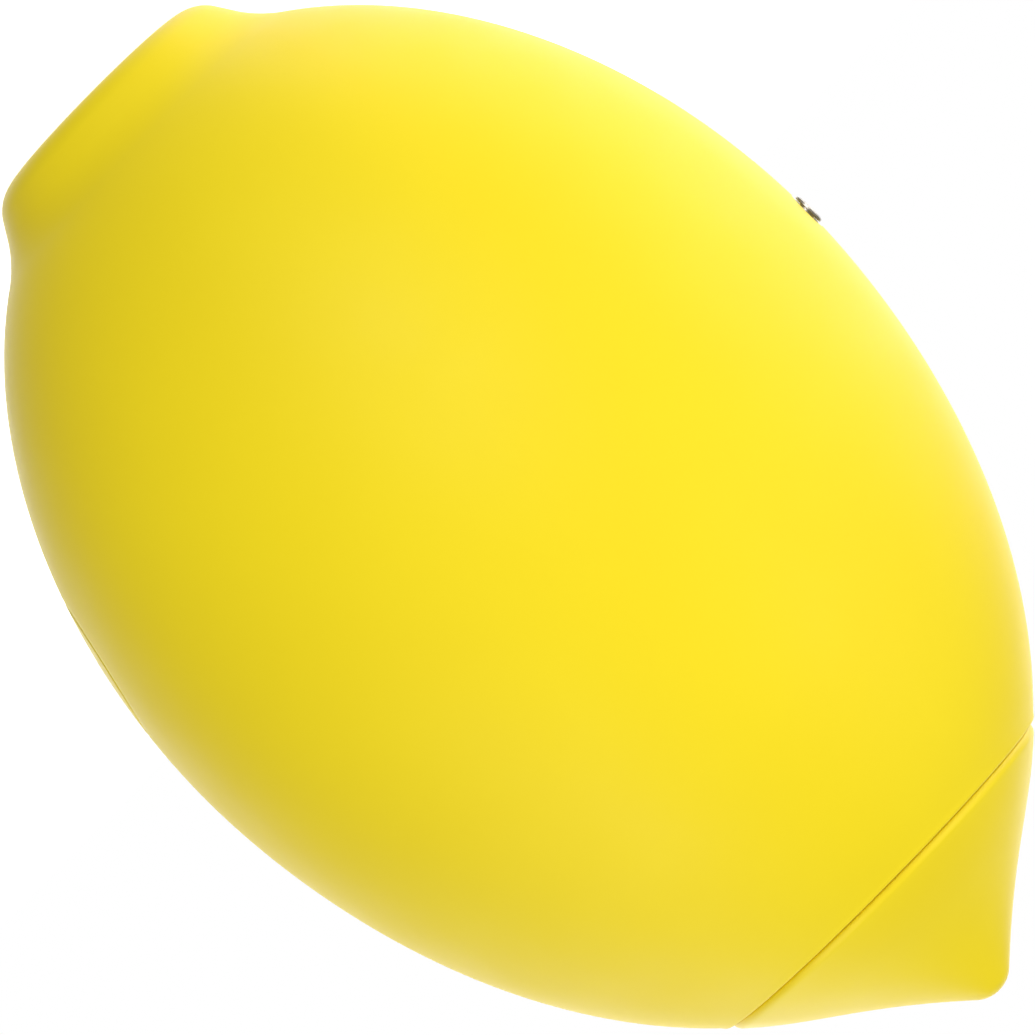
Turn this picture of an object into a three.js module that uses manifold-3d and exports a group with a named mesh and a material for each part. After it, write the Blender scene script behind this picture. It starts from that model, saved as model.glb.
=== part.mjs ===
// Lemon-shaped hand-held mist sprayer: a rechargeable body under a soft seamless skin, a water
// tank in its nose half, a lift-out mist head with a wick, and a pointed nose cap.
//
// Millimetres, +Z up. The lemon stands on its flat stem end with its axis on Z and its nose up.
// The origin is the centre of the flat stem face. The push button is at the front (-Y) and the
// charging contacts are at the back (+Y). The inner shells part on the plane X = 0.
import * as THREE from 'three';
import { mergeVertices } from 'three/addons/utils/BufferGeometryUtils.js';
import Module from 'manifold-3d';

const wasm = await Module();
wasm.setup();

// ---- Driving dimensions: the outside ----
const LENGTH = 100.0; // flat stem face to nose tip
const BODY_D = 66.3; // widest diameter
const EQUATOR_Z = 45.45; // height of the widest place
const STEM_ROOT_Z = 4.7; // where the stem knob meets the body
const FOOT_R = 9.05; // flat face that the lemon stands on
const FOOT_ROUND = 3.4; // round between the flat face and the knob's side
const BODY_LOW_Z = 0.6; // where the body's lower ellipse would close, hidden in the knob
const NOSE_CAP_H = 13.0; // nose cap, seam to tip
const SEAM_GAP = 0.2; // hairline between body and nose cap
const TIP_R = 2.7; // round of the nose tip

// ---- Driving dimensions: walls and clearances ----
const SKIN_T = 1.6;
const SHELL_T = 1.8;
const TANK_T = 1.5;
const CAP_T = 1.6;
const SKIN_GAP = 0.2; // between the skin and the shells under it
const TANK_GAP = 1.6; // between the shells and the tank, for the flat lead
const SEAT = 0.1; // between faces that rest on each other
const FIT = 0.3; // between a piece and the hole that it is pushed into
const SPLIT_GAP = 0.3; // between the two shell halves

// ---- Driving dimensions: the working parts ----
const PIEZO_D = 16.0; // atomiser disc
const PIEZO_T = 0.6;
const MESH_T = 0.15; // steel mesh plate under the piezo ring
const WICK_D = 5.2;
const BATTERY_D = 16.0;
const BATTERY_L = 34.0;
const BATTERY_LOW_Z = 13.0; // underside of the battery
const BUTTON_D = 12.6;
const BUTTON_GAP = 0.2; // hairline round the button
const BUTTON_Z = 32.1;
const BUTTON_TRAVEL = 0.5;
const SWITCH_W = 6.0;
const SWITCH_H = 3.4;
const BOARD_W = 24.0;
const BOARD_H = 18.0;
const BOARD_T = 1.6;
const BOARD_LOW_Z = BATTERY_LOW_Z + BATTERY_D - 3.0; // the battery plugs in at its lower end
const CONTACT_D = 2.7; // round charging contact
const CONTACT_PITCH = 6.0; // centre to centre
const CONTACT_Z = 46.1;
const CONTACT_PROUD = 0.27; // above the body's surface
const POCKET_H = 3.2; // height of the contact pocket in the skin
const POCKET_DEPTH = 0.13; // its floor below the body's surface
const MAGNET_D = 4.0;
const MAGNET_T = 2.5;
const BOSS_R = 2.8;
const SCREW_R = 0.9;
const SCREW_HEAD_R = 1.8;
const SCREW_HEAD_T = 1.4;
const COLLAR_T = 1.7; // wall of the plug collar
const NECK_T = 2.2; // wall of the neck ring
const LIP_W = 1.65; // skin left round the mouth
const ORING_R = 0.55; // half the thickness of the round seals
const LEAD_T = 0.4; // flat leads

// ---- Facets ----
const TURN = 32; // sides of the large turned pieces
const SMALL_TURN = 16; // sides of the small ones

// ---- Radii across the mouth, from the atomiser disc outwards ----
const BODY_R = BODY_D / 2;
const PIEZO_R = PIEZO_D / 2;
const RECESS_R = PIEZO_R + 0.4; // recess that holds the disc and its gaskets
const COVER_R = RECESS_R + 2.2;
const COLLAR_IN_R = COVER_R + FIT;
const COLLAR_R = COLLAR_IN_R + COLLAR_T;
const NECK_R = COLLAR_R + FIT;
const NECK_OUT_R = NECK_R + NECK_T;
const LIP_R = NECK_OUT_R + FIT;
const MOUTH_R = LIP_R + LIP_W;
const CAP_R = MOUTH_R - 0.4; // the body's edge stands slightly proud of the cap
const FLANGE_R = NECK_R - FIT;
const LEDGE_R = NECK_R - 3.0;
const PLUG_R = LEDGE_R - 0.6;
const TANK_MOUTH_R = PLUG_R + FIT;
const TANK_NECK_R = TANK_MOUTH_R + 1.9;
const WICK_R = WICK_D / 2;
const WICK_TUBE_IN_R = WICK_R + FIT;
const WICK_TUBE_R = WICK_TUBE_IN_R + 1.5;

// ---- Heights, from the mouth down ----
const SEAM_Z = LENGTH - NOSE_CAP_H;
const MOUTH_Z = SEAM_Z - SEAM_GAP;
const NECK_TOP_Z = MOUTH_Z - 0.3;
const NECK_FLANGE_TOP_Z = MOUTH_Z - 3.7;
const SHELL_TOP_Z = NECK_FLANGE_TOP_Z - 1.6;
const LEDGE_Z = MOUTH_Z - 6.8;
const NECK_LOW_Z = LEDGE_Z - 3.1;
const TANK_TOP_Z = NECK_LOW_Z - 0.9;
const TANK_ROOF_Z = TANK_TOP_Z - 2.0;
const FLANGE_Z = LEDGE_Z + SEAT; // underside of the mist head's flange
const HEAD_TOP_Z = FLANGE_Z + 1.8;
const RECESS_Z = HEAD_TOP_Z - 1.3;
const PLUG_LOW_Z = TANK_ROOF_Z - 0.4;
const COLLAR_LOW_Z = HEAD_TOP_Z + 0.9;
const COLLAR_TOP_Z = SEAM_Z + 1.2;
const COVER_TOP_Z = SEAM_Z + 1.3;

// ---- Heights, from the contacts up ----
const BLOCK_HALF_H = 3.0;
const SHELF_Z = CONTACT_Z + BLOCK_HALF_H + 0.9;
const SHELF_T = 1.6;
const TANK_LOW_Z = SHELF_Z + SHELF_T + SEAT;
const WICK_TUBE_LOW_Z = TANK_LOW_Z + TANK_T + 1.0;

// ---- Depths under the outside surface ----
const SHELL_DEPTH = SKIN_T + SKIN_GAP;
const SHELL_IN_DEPTH = SHELL_DEPTH + SHELL_T;
const TANK_DEPTH = SHELL_IN_DEPTH + TANK_GAP;
const TANK_IN_DEPTH = TANK_DEPTH + TANK_T;

// ---- Outline of the body: pairs of radius and height ----
function along(count, point) {
  return Array.from({ length: count + 1 }, (_, i) => point(i / count));
}

function bezier(start, startHandle, endHandle, end, count) {
  const curve = new THREE.CubicBezierCurve(
    new THREE.Vector2(...start),
    new THREE.Vector2(...startHandle),
    new THREE.Vector2(...endHandle),
    new THREE.Vector2(...end),
  );
  return curve.getPoints(count).map((point) => [point.x, point.y]);
}

function arc(centreR, centreZ, radius, fromAngle, toAngle, count) {
  return along(count, (t) => {
    const angle = fromAngle + (toAngle - fromAngle) * t;
    return [centreR + radius * Math.cos(angle), centreZ + radius * Math.sin(angle)];
  });
}

function ellipseRadius(z) {
  const share = (EQUATOR_Z - z) / (EQUATOR_Z - BODY_LOW_Z);
  return BODY_R * Math.sqrt(1 - share * share);
}

function bodyOutline() {
  // The knob's side runs from the foot's round, where it is tangent, to the body's ellipse.
  const rootR = ellipseRadius(STEM_ROOT_Z);
  const run = rootR - FOOT_R;
  const rise = STEM_ROOT_Z - FOOT_ROUND;
  const sideAngle = Math.atan2(rise, run) - Math.acos(FOOT_ROUND / Math.hypot(run, rise));
  const foot = arc(FOOT_R, FOOT_ROUND, FOOT_ROUND, -Math.PI / 2, sideAngle, 4);
  const lowest = Math.acos((EQUATOR_Z - STEM_ROOT_Z) / (EQUATOR_Z - BODY_LOW_Z));
  const lower = along(8, (t) => {
    const angle = lowest + (Math.PI / 2 - lowest) * t;
    const z = EQUATOR_Z - (EQUATOR_Z - BODY_LOW_Z) * Math.cos(angle);
    return [BODY_R * Math.sin(angle), z];
  });
  const edgeR = MOUTH_R + 0.53;
  const edgeZ = MOUTH_Z - 0.42;
  const upper = bezier(
    [BODY_R, EQUATOR_Z],
    [BODY_R, EQUATOR_Z + 11],
    [edgeR + 12.24, edgeZ - 12],
    [edgeR, edgeZ],
    9,
  );
  return [...foot, ...lower, ...upper.slice(1), [MOUTH_R + 0.2, MOUTH_Z - 0.1], [MOUTH_R, MOUTH_Z]];
}

function capOutline() {
  const shoulder = arc(CAP_R - 1.3, SEAM_Z + 0.05, 1.3, 0.0, 0.75, 2);
  const [shoulderR, shoulderZ] = shoulder[shoulder.length - 1];
  const slope = 1.08; // radius lost for each millimetre of height, at both ends of the side
  const tipAngle = Math.atan(slope);
  const tipZ = LENGTH - TIP_R;
  const tip = arc(0, tipZ, TIP_R, tipAngle, Math.PI / 2, 4);
  const [tangentR, tangentZ] = tip[0];
  const side = bezier(
    [shoulderR, shoulderZ],
    [shoulderR - 4 * slope, shoulderZ + 4],
    [tangentR + 6.5 * slope, tangentZ - 6.5],
    [tangentR, tangentZ],
    6,
  );
  tip[tip.length - 1][0] = 0;
  return [[CAP_R, SEAM_Z], ...shoulder.slice(1), ...side.slice(1), ...tip.slice(1)];
}

const BODY_OUTLINE = bodyOutline();
const CAP_OUTLINE = capOutline();

// ---- Surfaces at a depth under an outline ----
function distanceTo(outline, r, z) {
  let nearest = Infinity;
  for (let i = 1; i < outline.length; i += 1) {
    const [r0, z0] = outline[i - 1];
    const [r1, z1] = outline[i];
    const length2 = (r1 - r0) ** 2 + (z1 - z0) ** 2;
    const t = ((r - r0) * (r1 - r0) + (z - z0) * (z1 - z0)) / length2;
    const share = Math.min(1, Math.max(0, t));
    const gap = Math.hypot(r - r0 - share * (r1 - r0), z - z0 - share * (z1 - z0));
    nearest = Math.min(nearest, gap);
  }
  return nearest;
}

function outlineRadius(outline, z) {
  for (let i = 1; i < outline.length; i += 1) {
    const [r0, z0] = outline[i - 1];
    const [r1, z1] = outline[i];
    if (z >= z0 && z <= z1) return r0 + ((r1 - r0) * (z - z0)) / (z1 - z0 || 1);
  }
  return 0;
}

// The radius, at a height, of the surface that lies a depth under the outline.
function insetRadius(outline, z, depth) {
  let inside = 0;
  let outside = outlineRadius(outline, z);
  for (let i = 0; i < 40; i += 1) {
    const middle = (inside + outside) / 2;
    if (distanceTo(outline, middle, z) > depth) inside = middle;
    else outside = middle;
  }
  return inside;
}

// Heights where every inner surface of the body has its corners, closer together near the
// stem, so that nested walls keep an even gap.
const STATIONS = along(12, (t) => SHELL_TOP_Z * t ** 1.5);

// Points on the surface a depth under the body's outline, from one height to another.
function insetLine(depth, lowZ, highZ) {
  const between = STATIONS.filter((z) => z > lowZ + 0.5 && z < highZ - 0.5);
  return [lowZ, ...between, highZ].map((z) => [insetRadius(BODY_OUTLINE, z, depth), z]);
}

// The same surface as the walls have it, straight between their corners.
function wallRadius(depth, z) {
  const next = Math.max(1, STATIONS.findIndex((station) => station >= z));
  const [lowZ, highZ] = [STATIONS[next - 1], STATIONS[next]];
  const lowR = insetRadius(BODY_OUTLINE, lowZ, depth);
  const highR = insetRadius(BODY_OUTLINE, highZ, depth);
  return lowR + ((highR - lowR) * (z - lowZ)) / (highZ - lowZ);
}

function wallLine(depth, lowZ, highZ) {
  const between = STATIONS.filter((z) => z > lowZ + 0.5 && z < highZ - 0.5);
  return [lowZ, ...between, highZ].map((z) => [wallRadius(depth, z), z]);
}

// ---- Solids ----
function solidOf(geometry) {
  const bare = geometry.clone();
  bare.deleteAttribute('normal');
  bare.deleteAttribute('uv');
  const merged = mergeVertices(bare, 1e-4);
  const index = merged.index.array;
  const kept = [];
  for (let i = 0; i < index.length; i += 3) {
    const [a, b, c] = [index[i], index[i + 1], index[i + 2]];
    if (a !== b && b !== c && c !== a) kept.push(a, b, c);
  }
  const mesh = new wasm.Mesh({
    numProp: 3,
    vertProperties: new Float32Array(merged.attributes.position.array),
    triVerts: new Uint32Array(kept),
  });
  return new wasm.Manifold(mesh);
}

function geometryOf(solid) {
  const mesh = solid.getMesh();
  const geometry = new THREE.BufferGeometry();
  geometry.setAttribute('position', new THREE.BufferAttribute(mesh.vertProperties, 3));
  geometry.setIndex(new THREE.BufferAttribute(mesh.triVerts, 1));
  const flat = geometry.toNonIndexed();
  flat.computeVertexNormals();
  return flat;
}

// A profile goes up its outside and down its inside, or starts and ends on the axis.
function turned(profile, sides = TURN) {
  const points = profile.map(([r, z]) => new THREE.Vector2(r, z));
  const onAxis = profile[0][0] === 0 && profile[profile.length - 1][0] === 0;
  if (!onAxis) points.push(points[0].clone());
  return solidOf(new THREE.LatheGeometry(points, sides).rotateX(Math.PI / 2));
}

function disc(r, lowZ, highZ, sides = TURN) {
  return turned([[0, lowZ], [r, lowZ], [r, highZ], [0, highZ]], sides);
}

function ring(inR, outR, lowZ, highZ, sides = TURN) {
  return turned([[inR, lowZ], [outR, lowZ], [outR, highZ], [inR, highZ]], sides);
}

function roundSeal(centreR, z) {
  return turned(arc(centreR, z, ORING_R, 0, (Math.PI * 5) / 3, 5));
}

function box(x0, x1, y0, y1, z0, z1) {
  const geometry = new THREE.BoxGeometry(x1 - x0, y1 - y0, z1 - z0);
  return solidOf(geometry.translate((x0 + x1) / 2, (y0 + y1) / 2, (z0 + z1) / 2));
}

function rodX(r, x0, x1, y, z, sides = SMALL_TURN) {
  const geometry = new THREE.CylinderGeometry(r, r, x1 - x0, sides).rotateZ(Math.PI / 2);
  return solidOf(geometry.translate((x0 + x1) / 2, y, z));
}

function rodY(r, y0, y1, x, z, sides = SMALL_TURN) {
  const geometry = new THREE.CylinderGeometry(r, r, y1 - y0, sides);
  return solidOf(geometry.translate(x, (y0 + y1) / 2, z));
}

// A flat lead: a strip of even thickness along a path of [y, z] points, wide along X.
function flatLead(path, x, width) {
  const left = [];
  const right = [];
  path.forEach(([y, z], i) => {
    const [y0, z0] = path[Math.max(0, i - 1)];
    const [y1, z1] = path[Math.min(path.length - 1, i + 1)];
    const length = Math.hypot(y1 - y0, z1 - z0);
    const sideY = (-(z1 - z0) / length) * (LEAD_T / 2);
    const sideZ = ((y1 - y0) / length) * (LEAD_T / 2);
    left.push(new THREE.Vector2(y + sideY, z + sideZ));
    right.unshift(new THREE.Vector2(y - sideY, z - sideZ));
  });
  const shape = new THREE.Shape([...left, ...right]);
  const strip = new THREE.ExtrudeGeometry(shape, { depth: width, bevelEnabled: false });
  // The shape's own axes become Y and Z, and its thickness runs along X.
  strip.rotateZ(Math.PI / 2).rotateY(Math.PI / 2);
  return solidOf(strip.translate(x - width / 2, 0, 0));
}

// The whole space under the body's surface at a depth, from the floor of that depth upwards.
function bodySolid(depth, highZ = MOUTH_Z) {
  if (depth === 0) return turned([[0, 0], ...BODY_OUTLINE, [0, MOUTH_Z]]);
  const line = insetLine(depth, depth, highZ);
  return turned([[0, depth], ...line, [0, highZ]]);
}

// ---- Finishes ----
function finish(color, roughness, metalness = 0) {
  return new THREE.MeshStandardMaterial({ color, roughness, metalness });
}

const YELLOW_SKIN = () => finish(0xf2d91e, 0.45);
const IVORY = () => finish(0xe9e4d2, 0.5);
const WHITE = () => finish(0xf4f4f0, 0.4);
const CLEAR = () => finish(0xcfe3ea, 0.1);
const DARK = () => finish(0x1c1d20, 0.45);
const GREEN = () => finish(0x1f6b3a, 0.5);
const SEAL = () => finish(0xd9d9d4, 0.6);
const STEEL = () => finish(0xb9bcc0, 0.3, 1);
const CHROME = () => finish(0xdfe1e4, 0.12, 1);
const BRASS = () => finish(0xd9b45a, 0.25, 1);
const CERAMIC = () => finish(0xcdb98a, 0.5);
const COTTON = () => finish(0xf6f5f0, 0.9);
const AMBER = () => finish(0xb9782a, 0.4);
const BLUE = () => finish(0x2f6fb5, 0.35);

const lemon = new THREE.Group();

function piece(name, solid, material) {
  const mesh = new THREE.Mesh(geometryOf(solid), material);
  mesh.name = name;
  lemon.add(mesh);
}

// ---- Places that the pieces share ----
const buttonFaceR = outlineRadius(BODY_OUTLINE, BUTTON_Z);
const boardFrontY = -(buttonFaceR - 10.25);
const boardBackY = boardFrontY + BOARD_T;
const switchFrontY = boardFrontY - SEAT - SWITCH_H;
const plungerTipY = switchFrontY - BUTTON_TRAVEL - 0.4;
const buttonFlangeR = BUTTON_D / 2 + 1.2;
const contactFaceR = outlineRadius(BODY_OUTLINE, CONTACT_Z);
const pocketHalfW = CONTACT_PITCH / 2 + POCKET_H / 2;
const batteryR = BATTERY_D / 2;
const batteryZ = BATTERY_LOW_Z + batteryR;
const padInR = batteryR + SEAT;
const padR = padInR + 0.5;
const cradleInR = padR + SEAT;
const cradleR = cradleInR + 1.5;
const blockHalfW = CONTACT_PITCH / 2 + 3.2 + MAGNET_D;
const postX = BOARD_W / 2 - 2.6;
const postZ = BOARD_LOW_Z + BOARD_H - 2.6;
const reach = BODY_R + 5; // past the outside of the body
const screwPlaces = [
  [-(cradleR + BOSS_R), 12],
  [cradleR + BOSS_R, 12],
  [-12, 40],
  [12, 40],
];

// An upright outline with round ends, through the wall along Y.
function roundEnded(halfW, halfH, y0, y1, z) {
  return rodY(halfH, y0, y1, -(halfW - halfH), z)
    .add(rodY(halfH, y0, y1, halfW - halfH, z))
    .add(box(-(halfW - halfH), halfW - halfH, y0, y1, z - halfH, z + halfH));
}

// ---- Outer skin ----
function outerSkin() {
  const innerLine = insetLine(SKIN_T, SKIN_T, MOUTH_Z - SKIN_T);
  const inner = [[0, SKIN_T], ...innerLine, [LIP_R, MOUTH_Z - SKIN_T], [LIP_R, MOUTH_Z]];
  const wall = turned([[0, 0], ...BODY_OUTLINE, ...inner.reverse()]);
  const buttonHole = rodY(BUTTON_D / 2 + BUTTON_GAP, -reach, -10, 0, BUTTON_Z, 24);
  const pocket = roundEnded(pocketHalfW + 0.1, POCKET_H / 2 + 0.1, 10, reach, CONTACT_Z);
  return wall.subtract(buttonHole).subtract(pocket);
}

// ---- Inner shells ----
function wholeShell() {
  const outerLine = insetLine(SHELL_DEPTH, SHELL_DEPTH, SHELL_TOP_Z);
  const innerLine = insetLine(SHELL_IN_DEPTH, SHELL_IN_DEPTH, SHELL_TOP_Z);
  const wall = turned([
    [0, SHELL_DEPTH],
    ...outerLine,
    ...innerLine.reverse(),
    [0, SHELL_IN_DEPTH],
  ]);
  const shelfR = insetRadius(BODY_OUTLINE, SHELF_Z, SHELL_IN_DEPTH);
  const shelf = ring(shelfR - 6, shelfR + 1, SHELF_Z, SHELF_Z + SHELF_T);
  // Bosses, posts and ribs run out to the middle of the wall.
  const wallMiddle = bodySolid(SHELL_DEPTH + SHELL_T / 2, SHELL_TOP_Z);
  let inside = shelf;
  for (const [y, z] of screwPlaces) inside = inside.add(rodX(BOSS_R, -reach, reach, y, z));
  for (const x of [-postX, postX]) {
    inside = inside.add(rodY(2, -reach, boardFrontY - SEAT, x, postZ));
    const ribX = Math.sign(x) * (BOARD_W / 2 - 1.25);
    const rib = box(
      ribX - 1.25,
      ribX + 1.25,
      -reach,
      boardBackY + 1,
      BOARD_LOW_Z - 1.8,
      BOARD_LOW_Z + 1,
    );
    const slot = box(
      ribX - 2,
      ribX + 2,
      boardFrontY - 0.2,
      boardBackY + 0.2,
      BOARD_LOW_Z - 0.2,
      BOARD_LOW_Z + 2,
    );
    inside = inside.add(rib.subtract(slot));
  }
  let shell = wall.add(inside.intersect(wallMiddle));
  for (const [y, z] of screwPlaces) {
    shell = shell.subtract(rodX(SCREW_R + FIT, -7.5, 7, y, z));
    shell = shell.subtract(rodX(SCREW_HEAD_R + FIT, 5.5, reach, y, z));
  }
  for (const x of [-postX, postX]) {
    shell = shell.subtract(rodY(0.8 + FIT, boardFrontY - 4, boardFrontY + 5, x, postZ));
  }
  const flangeHole = rodY(buttonFlangeR + FIT, -reach, boardFrontY - 2, 0, BUTTON_Z, 24);
  const blockHole = box(
    -blockHalfW - FIT,
    blockHalfW + FIT,
    BODY_R * 0.6,
    reach,
    CONTACT_Z - BLOCK_HALF_H - FIT,
    CONTACT_Z + BLOCK_HALF_H + FIT,
  );
  const notchY = -(shelfR - 0.1);
  const leadNotch = box(-4, 4, notchY, notchY + 2.4, SHELF_Z - 1, SHELF_Z + SHELF_T + 1);
  return shell.subtract(flangeHole).subtract(blockHole).subtract(leadNotch);
}

function shellHalf(shell, side) {
  const near = SPLIT_GAP / 2;
  const keep = side < 0 ? [-reach, -near] : [near, reach];
  return shell.intersect(box(...keep, -reach, reach, -1, LENGTH));
}

function shellScrew(y, z) {
  const head = rodX(SCREW_HEAD_R, 5.6, 5.6 + SCREW_HEAD_T, y, z);
  const shank = rodX(SCREW_R, -6.5, 6, y, z, 12);
  const deep = 5.6 + SCREW_HEAD_T - 0.7;
  const slotA = box(deep, deep + 1, y - 1.1, y + 1.1, z - 0.25, z + 0.25);
  const slotB = box(deep, deep + 1, y - 0.25, y + 0.25, z - 1.1, z + 1.1);
  return head.add(shank).subtract(slotA).subtract(slotB);
}

// ---- Neck ring, with holes for the two spring pins ----
const pinR = 0.45;
const innerPinR = LEDGE_R + 1.0;
const outerPinR = LEDGE_R + 1.9;
const pinPlaces = [
  ['spring_pin_left', -1.1, innerPinR],
  ['spring_pin_right', 1.1, outerPinR],
];

function neckRing() {
  const spigotR = insetRadius(BODY_OUTLINE, SHELL_TOP_Z, SHELL_IN_DEPTH) - FIT;
  const flangeLowZ = SHELL_TOP_Z + SEAT;
  const flangeLowR = insetRadius(BODY_OUTLINE, flangeLowZ, SHELL_DEPTH) - 0.1;
  const flangeTopR = insetRadius(BODY_OUTLINE, NECK_FLANGE_TOP_Z, SHELL_DEPTH) - 0.1;
  const body = turned([
    [LEDGE_R, NECK_LOW_Z],
    [spigotR, NECK_LOW_Z],
    [spigotR, flangeLowZ],
    [flangeLowR, flangeLowZ],
    [flangeTopR, NECK_FLANGE_TOP_Z],
    [NECK_OUT_R, NECK_FLANGE_TOP_Z],
    [NECK_OUT_R, NECK_TOP_Z],
    [NECK_R, NECK_TOP_Z],
    [NECK_R, LEDGE_Z],
    [LEDGE_R, LEDGE_Z],
  ]);
  return pinPlaces.reduce((cut, [, x, r]) => {
    const hole = disc(pinR + FIT, NECK_LOW_Z - 1, LEDGE_Z + 1, SMALL_TURN);
    return cut.subtract(hole.translate([x, -r, 0]));
  }, body);
}

function springPin(x, r) {
  const topZ = FLANGE_Z + 0.05;
  const barrel = disc(pinR, NECK_LOW_Z - 0.1, LEDGE_Z - 0.6, SMALL_TURN);
  const plunger = disc(pinR * 0.7, LEDGE_Z - 1, topZ, SMALL_TURN);
  return barrel.add(plunger).translate([x, -r, 0]);
}

// ---- Water tank: a bowl under a roof with a short neck ----
function waterTank() {
  const outerLine = insetLine(TANK_DEPTH, TANK_LOW_Z + 2, TANK_ROOF_Z);
  const innerLowZ = TANK_LOW_Z + TANK_T;
  const innerTopZ = TANK_ROOF_Z - 0.6;
  const innerLine = insetLine(TANK_IN_DEPTH, innerLowZ + 1.6, innerTopZ);
  const roofZ = TANK_TOP_Z - 0.9;
  return turned([
    [0, TANK_LOW_Z],
    [outerLine[0][0] - 2, TANK_LOW_Z],
    ...outerLine,
    [TANK_NECK_R + 3, roofZ],
    [TANK_NECK_R, roofZ],
    [TANK_NECK_R, TANK_TOP_Z],
    [TANK_MOUTH_R, TANK_TOP_Z],
    [TANK_MOUTH_R, roofZ - TANK_T],
    [TANK_NECK_R + 3, roofZ - TANK_T],
    ...innerLine.reverse(),
    [innerLine[innerLine.length - 1][0] - 1.6, innerLowZ],
    [0, innerLowZ],
  ]);
}

// ---- Mist head ----
const ringTopZ = FLANGE_Z + 0.45;
const plugSealZ = TANK_TOP_Z - 1.0;

function headBody() {
  const grooveR = PLUG_R - 1.2;
  return turned([
    [WICK_TUBE_R + FIT, PLUG_LOW_Z],
    [PLUG_R, PLUG_LOW_Z],
    [PLUG_R, plugSealZ - 0.7],
    [grooveR, plugSealZ - 0.7],
    [grooveR, plugSealZ + 0.7],
    [PLUG_R, plugSealZ + 0.7],
    [PLUG_R, FLANGE_Z],
    [LEDGE_R + 0.5, FLANGE_Z],
    [LEDGE_R + 0.5, ringTopZ],
    [LEDGE_R + 2.35, ringTopZ],
    [LEDGE_R + 2.35, FLANGE_Z],
    [FLANGE_R, FLANGE_Z],
    [FLANGE_R, HEAD_TOP_Z],
    [RECESS_R, HEAD_TOP_Z],
    [RECESS_R, RECESS_Z],
    [WICK_R + 0.6, RECESS_Z],
    [WICK_R + 0.6, PLUG_LOW_Z + 3],
    [WICK_TUBE_R + FIT, PLUG_LOW_Z + 3],
  ]);
}

const lowerGasketZ = RECESS_Z + 0.05;
const meshZ = lowerGasketZ + 0.5 + 0.05;
const piezoZ = meshZ + MESH_T + 0.05;
const coverLowZ = HEAD_TOP_Z + SEAT;
const upperGasketZ = Math.max(piezoZ + PIEZO_T + 0.05, coverLowZ);

function headCover() {
  const shoulder = arc(COVER_R - 3.2, COVER_TOP_Z - 3.2, 3.2, 0, Math.PI / 2, 4);
  const cover = turned([
    [RECESS_R, coverLowZ],
    [COVER_R, coverLowZ],
    ...shoulder,
    [5.6, COVER_TOP_Z],
    [3.4, coverLowZ + 2.2],
    [3.4, coverLowZ + 1.2],
    [PIEZO_R - 2, upperGasketZ + 0.6],
    [RECESS_R, upperGasketZ + 0.6],
  ]);
  // Finger grooves round the side.
  const grooves = 8;
  let cut = cover;
  for (let i = 0; i < grooves; i += 1) {
    const angle = (i * 2 * Math.PI) / grooves;
    const groove = disc(0.7, coverLowZ + 1.4, COVER_TOP_Z - 2.2, 8);
    cut = cut.subtract(
      groove.translate([(COVER_R + 0.25) * Math.cos(angle), (COVER_R + 0.25) * Math.sin(angle), 0]),
    );
  }
  return cut;
}

function wickTube() {
  const topZ = PLUG_LOW_Z + 2.8;
  const tube = turned([
    [0, WICK_TUBE_LOW_Z],
    [WICK_TUBE_R, WICK_TUBE_LOW_Z],
    [WICK_TUBE_R, topZ],
    [WICK_TUBE_IN_R, topZ],
    [WICK_TUBE_IN_R, WICK_TUBE_LOW_Z + 1],
    [0, WICK_TUBE_LOW_Z + 1],
  ], SMALL_TURN);
  const slotZ = WICK_TUBE_LOW_Z + 5.5;
  const across = box(-0.8, 0.8, -10, 10, slotZ, slotZ + 8);
  const along90 = box(-10, 10, -0.8, 0.8, slotZ, slotZ + 8);
  return tube.subtract(across).subtract(along90);
}

const springLowZ = WICK_TUBE_LOW_Z + 1.4;
const springTopZ = springLowZ + 3.4;

function wickSpring() {
  const wireR = 0.28;
  const coilR = WICK_R - 0.5;
  const turns = 3;
  class Helix extends THREE.Curve {
    getPoint(t, target = new THREE.Vector3()) {
      const angle = t * turns * 2 * Math.PI;
      const z = springLowZ + (springTopZ - springLowZ) * t;
      return target.set(coilR * Math.cos(angle), coilR * Math.sin(angle), z);
    }
  }
  const section = new THREE.Shape(
    arc(0, 0, wireR, 0, (Math.PI * 5) / 3, 5).map(([x, y]) => new THREE.Vector2(x, y)),
  );
  const wire = new THREE.ExtrudeGeometry(section, {
    steps: turns * 12,
    extrudePath: new Helix(),
  });
  return solidOf(wire);
}

// ---- Nose cap and its plug collar ----
const cavityR = COLLAR_R + FIT;

function noseCap() {
  const cavityTopZ = LENGTH - 3.4;
  const cavityLowZ = COLLAR_TOP_Z + 0.2;
  const innerLine = along(5, (t) => {
    const z = cavityLowZ + (cavityTopZ - cavityLowZ) * t;
    return [Math.min(insetRadius(CAP_OUTLINE, z, CAP_T), cavityR), z];
  });
  const line = [[cavityR, SEAM_Z], ...innerLine, [0, cavityTopZ]];
  return turned([...CAP_OUTLINE, ...line.reverse()].slice(0, -1).concat([[cavityR, SEAM_Z]]));
}

const collarSealZ = (COLLAR_LOW_Z + NECK_TOP_Z) / 2 - 0.2;

function capCollar() {
  const grooveR = COLLAR_R - 1.0;
  return turned([
    [COLLAR_IN_R, COLLAR_LOW_Z],
    [COLLAR_R, COLLAR_LOW_Z],
    [COLLAR_R, collarSealZ - 0.75],
    [grooveR, collarSealZ - 0.75],
    [grooveR, collarSealZ + 0.75],
    [COLLAR_R, collarSealZ + 0.75],
    [COLLAR_R, COLLAR_TOP_Z],
    [COLLAR_IN_R, COLLAR_TOP_Z],
  ]);
}

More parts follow.
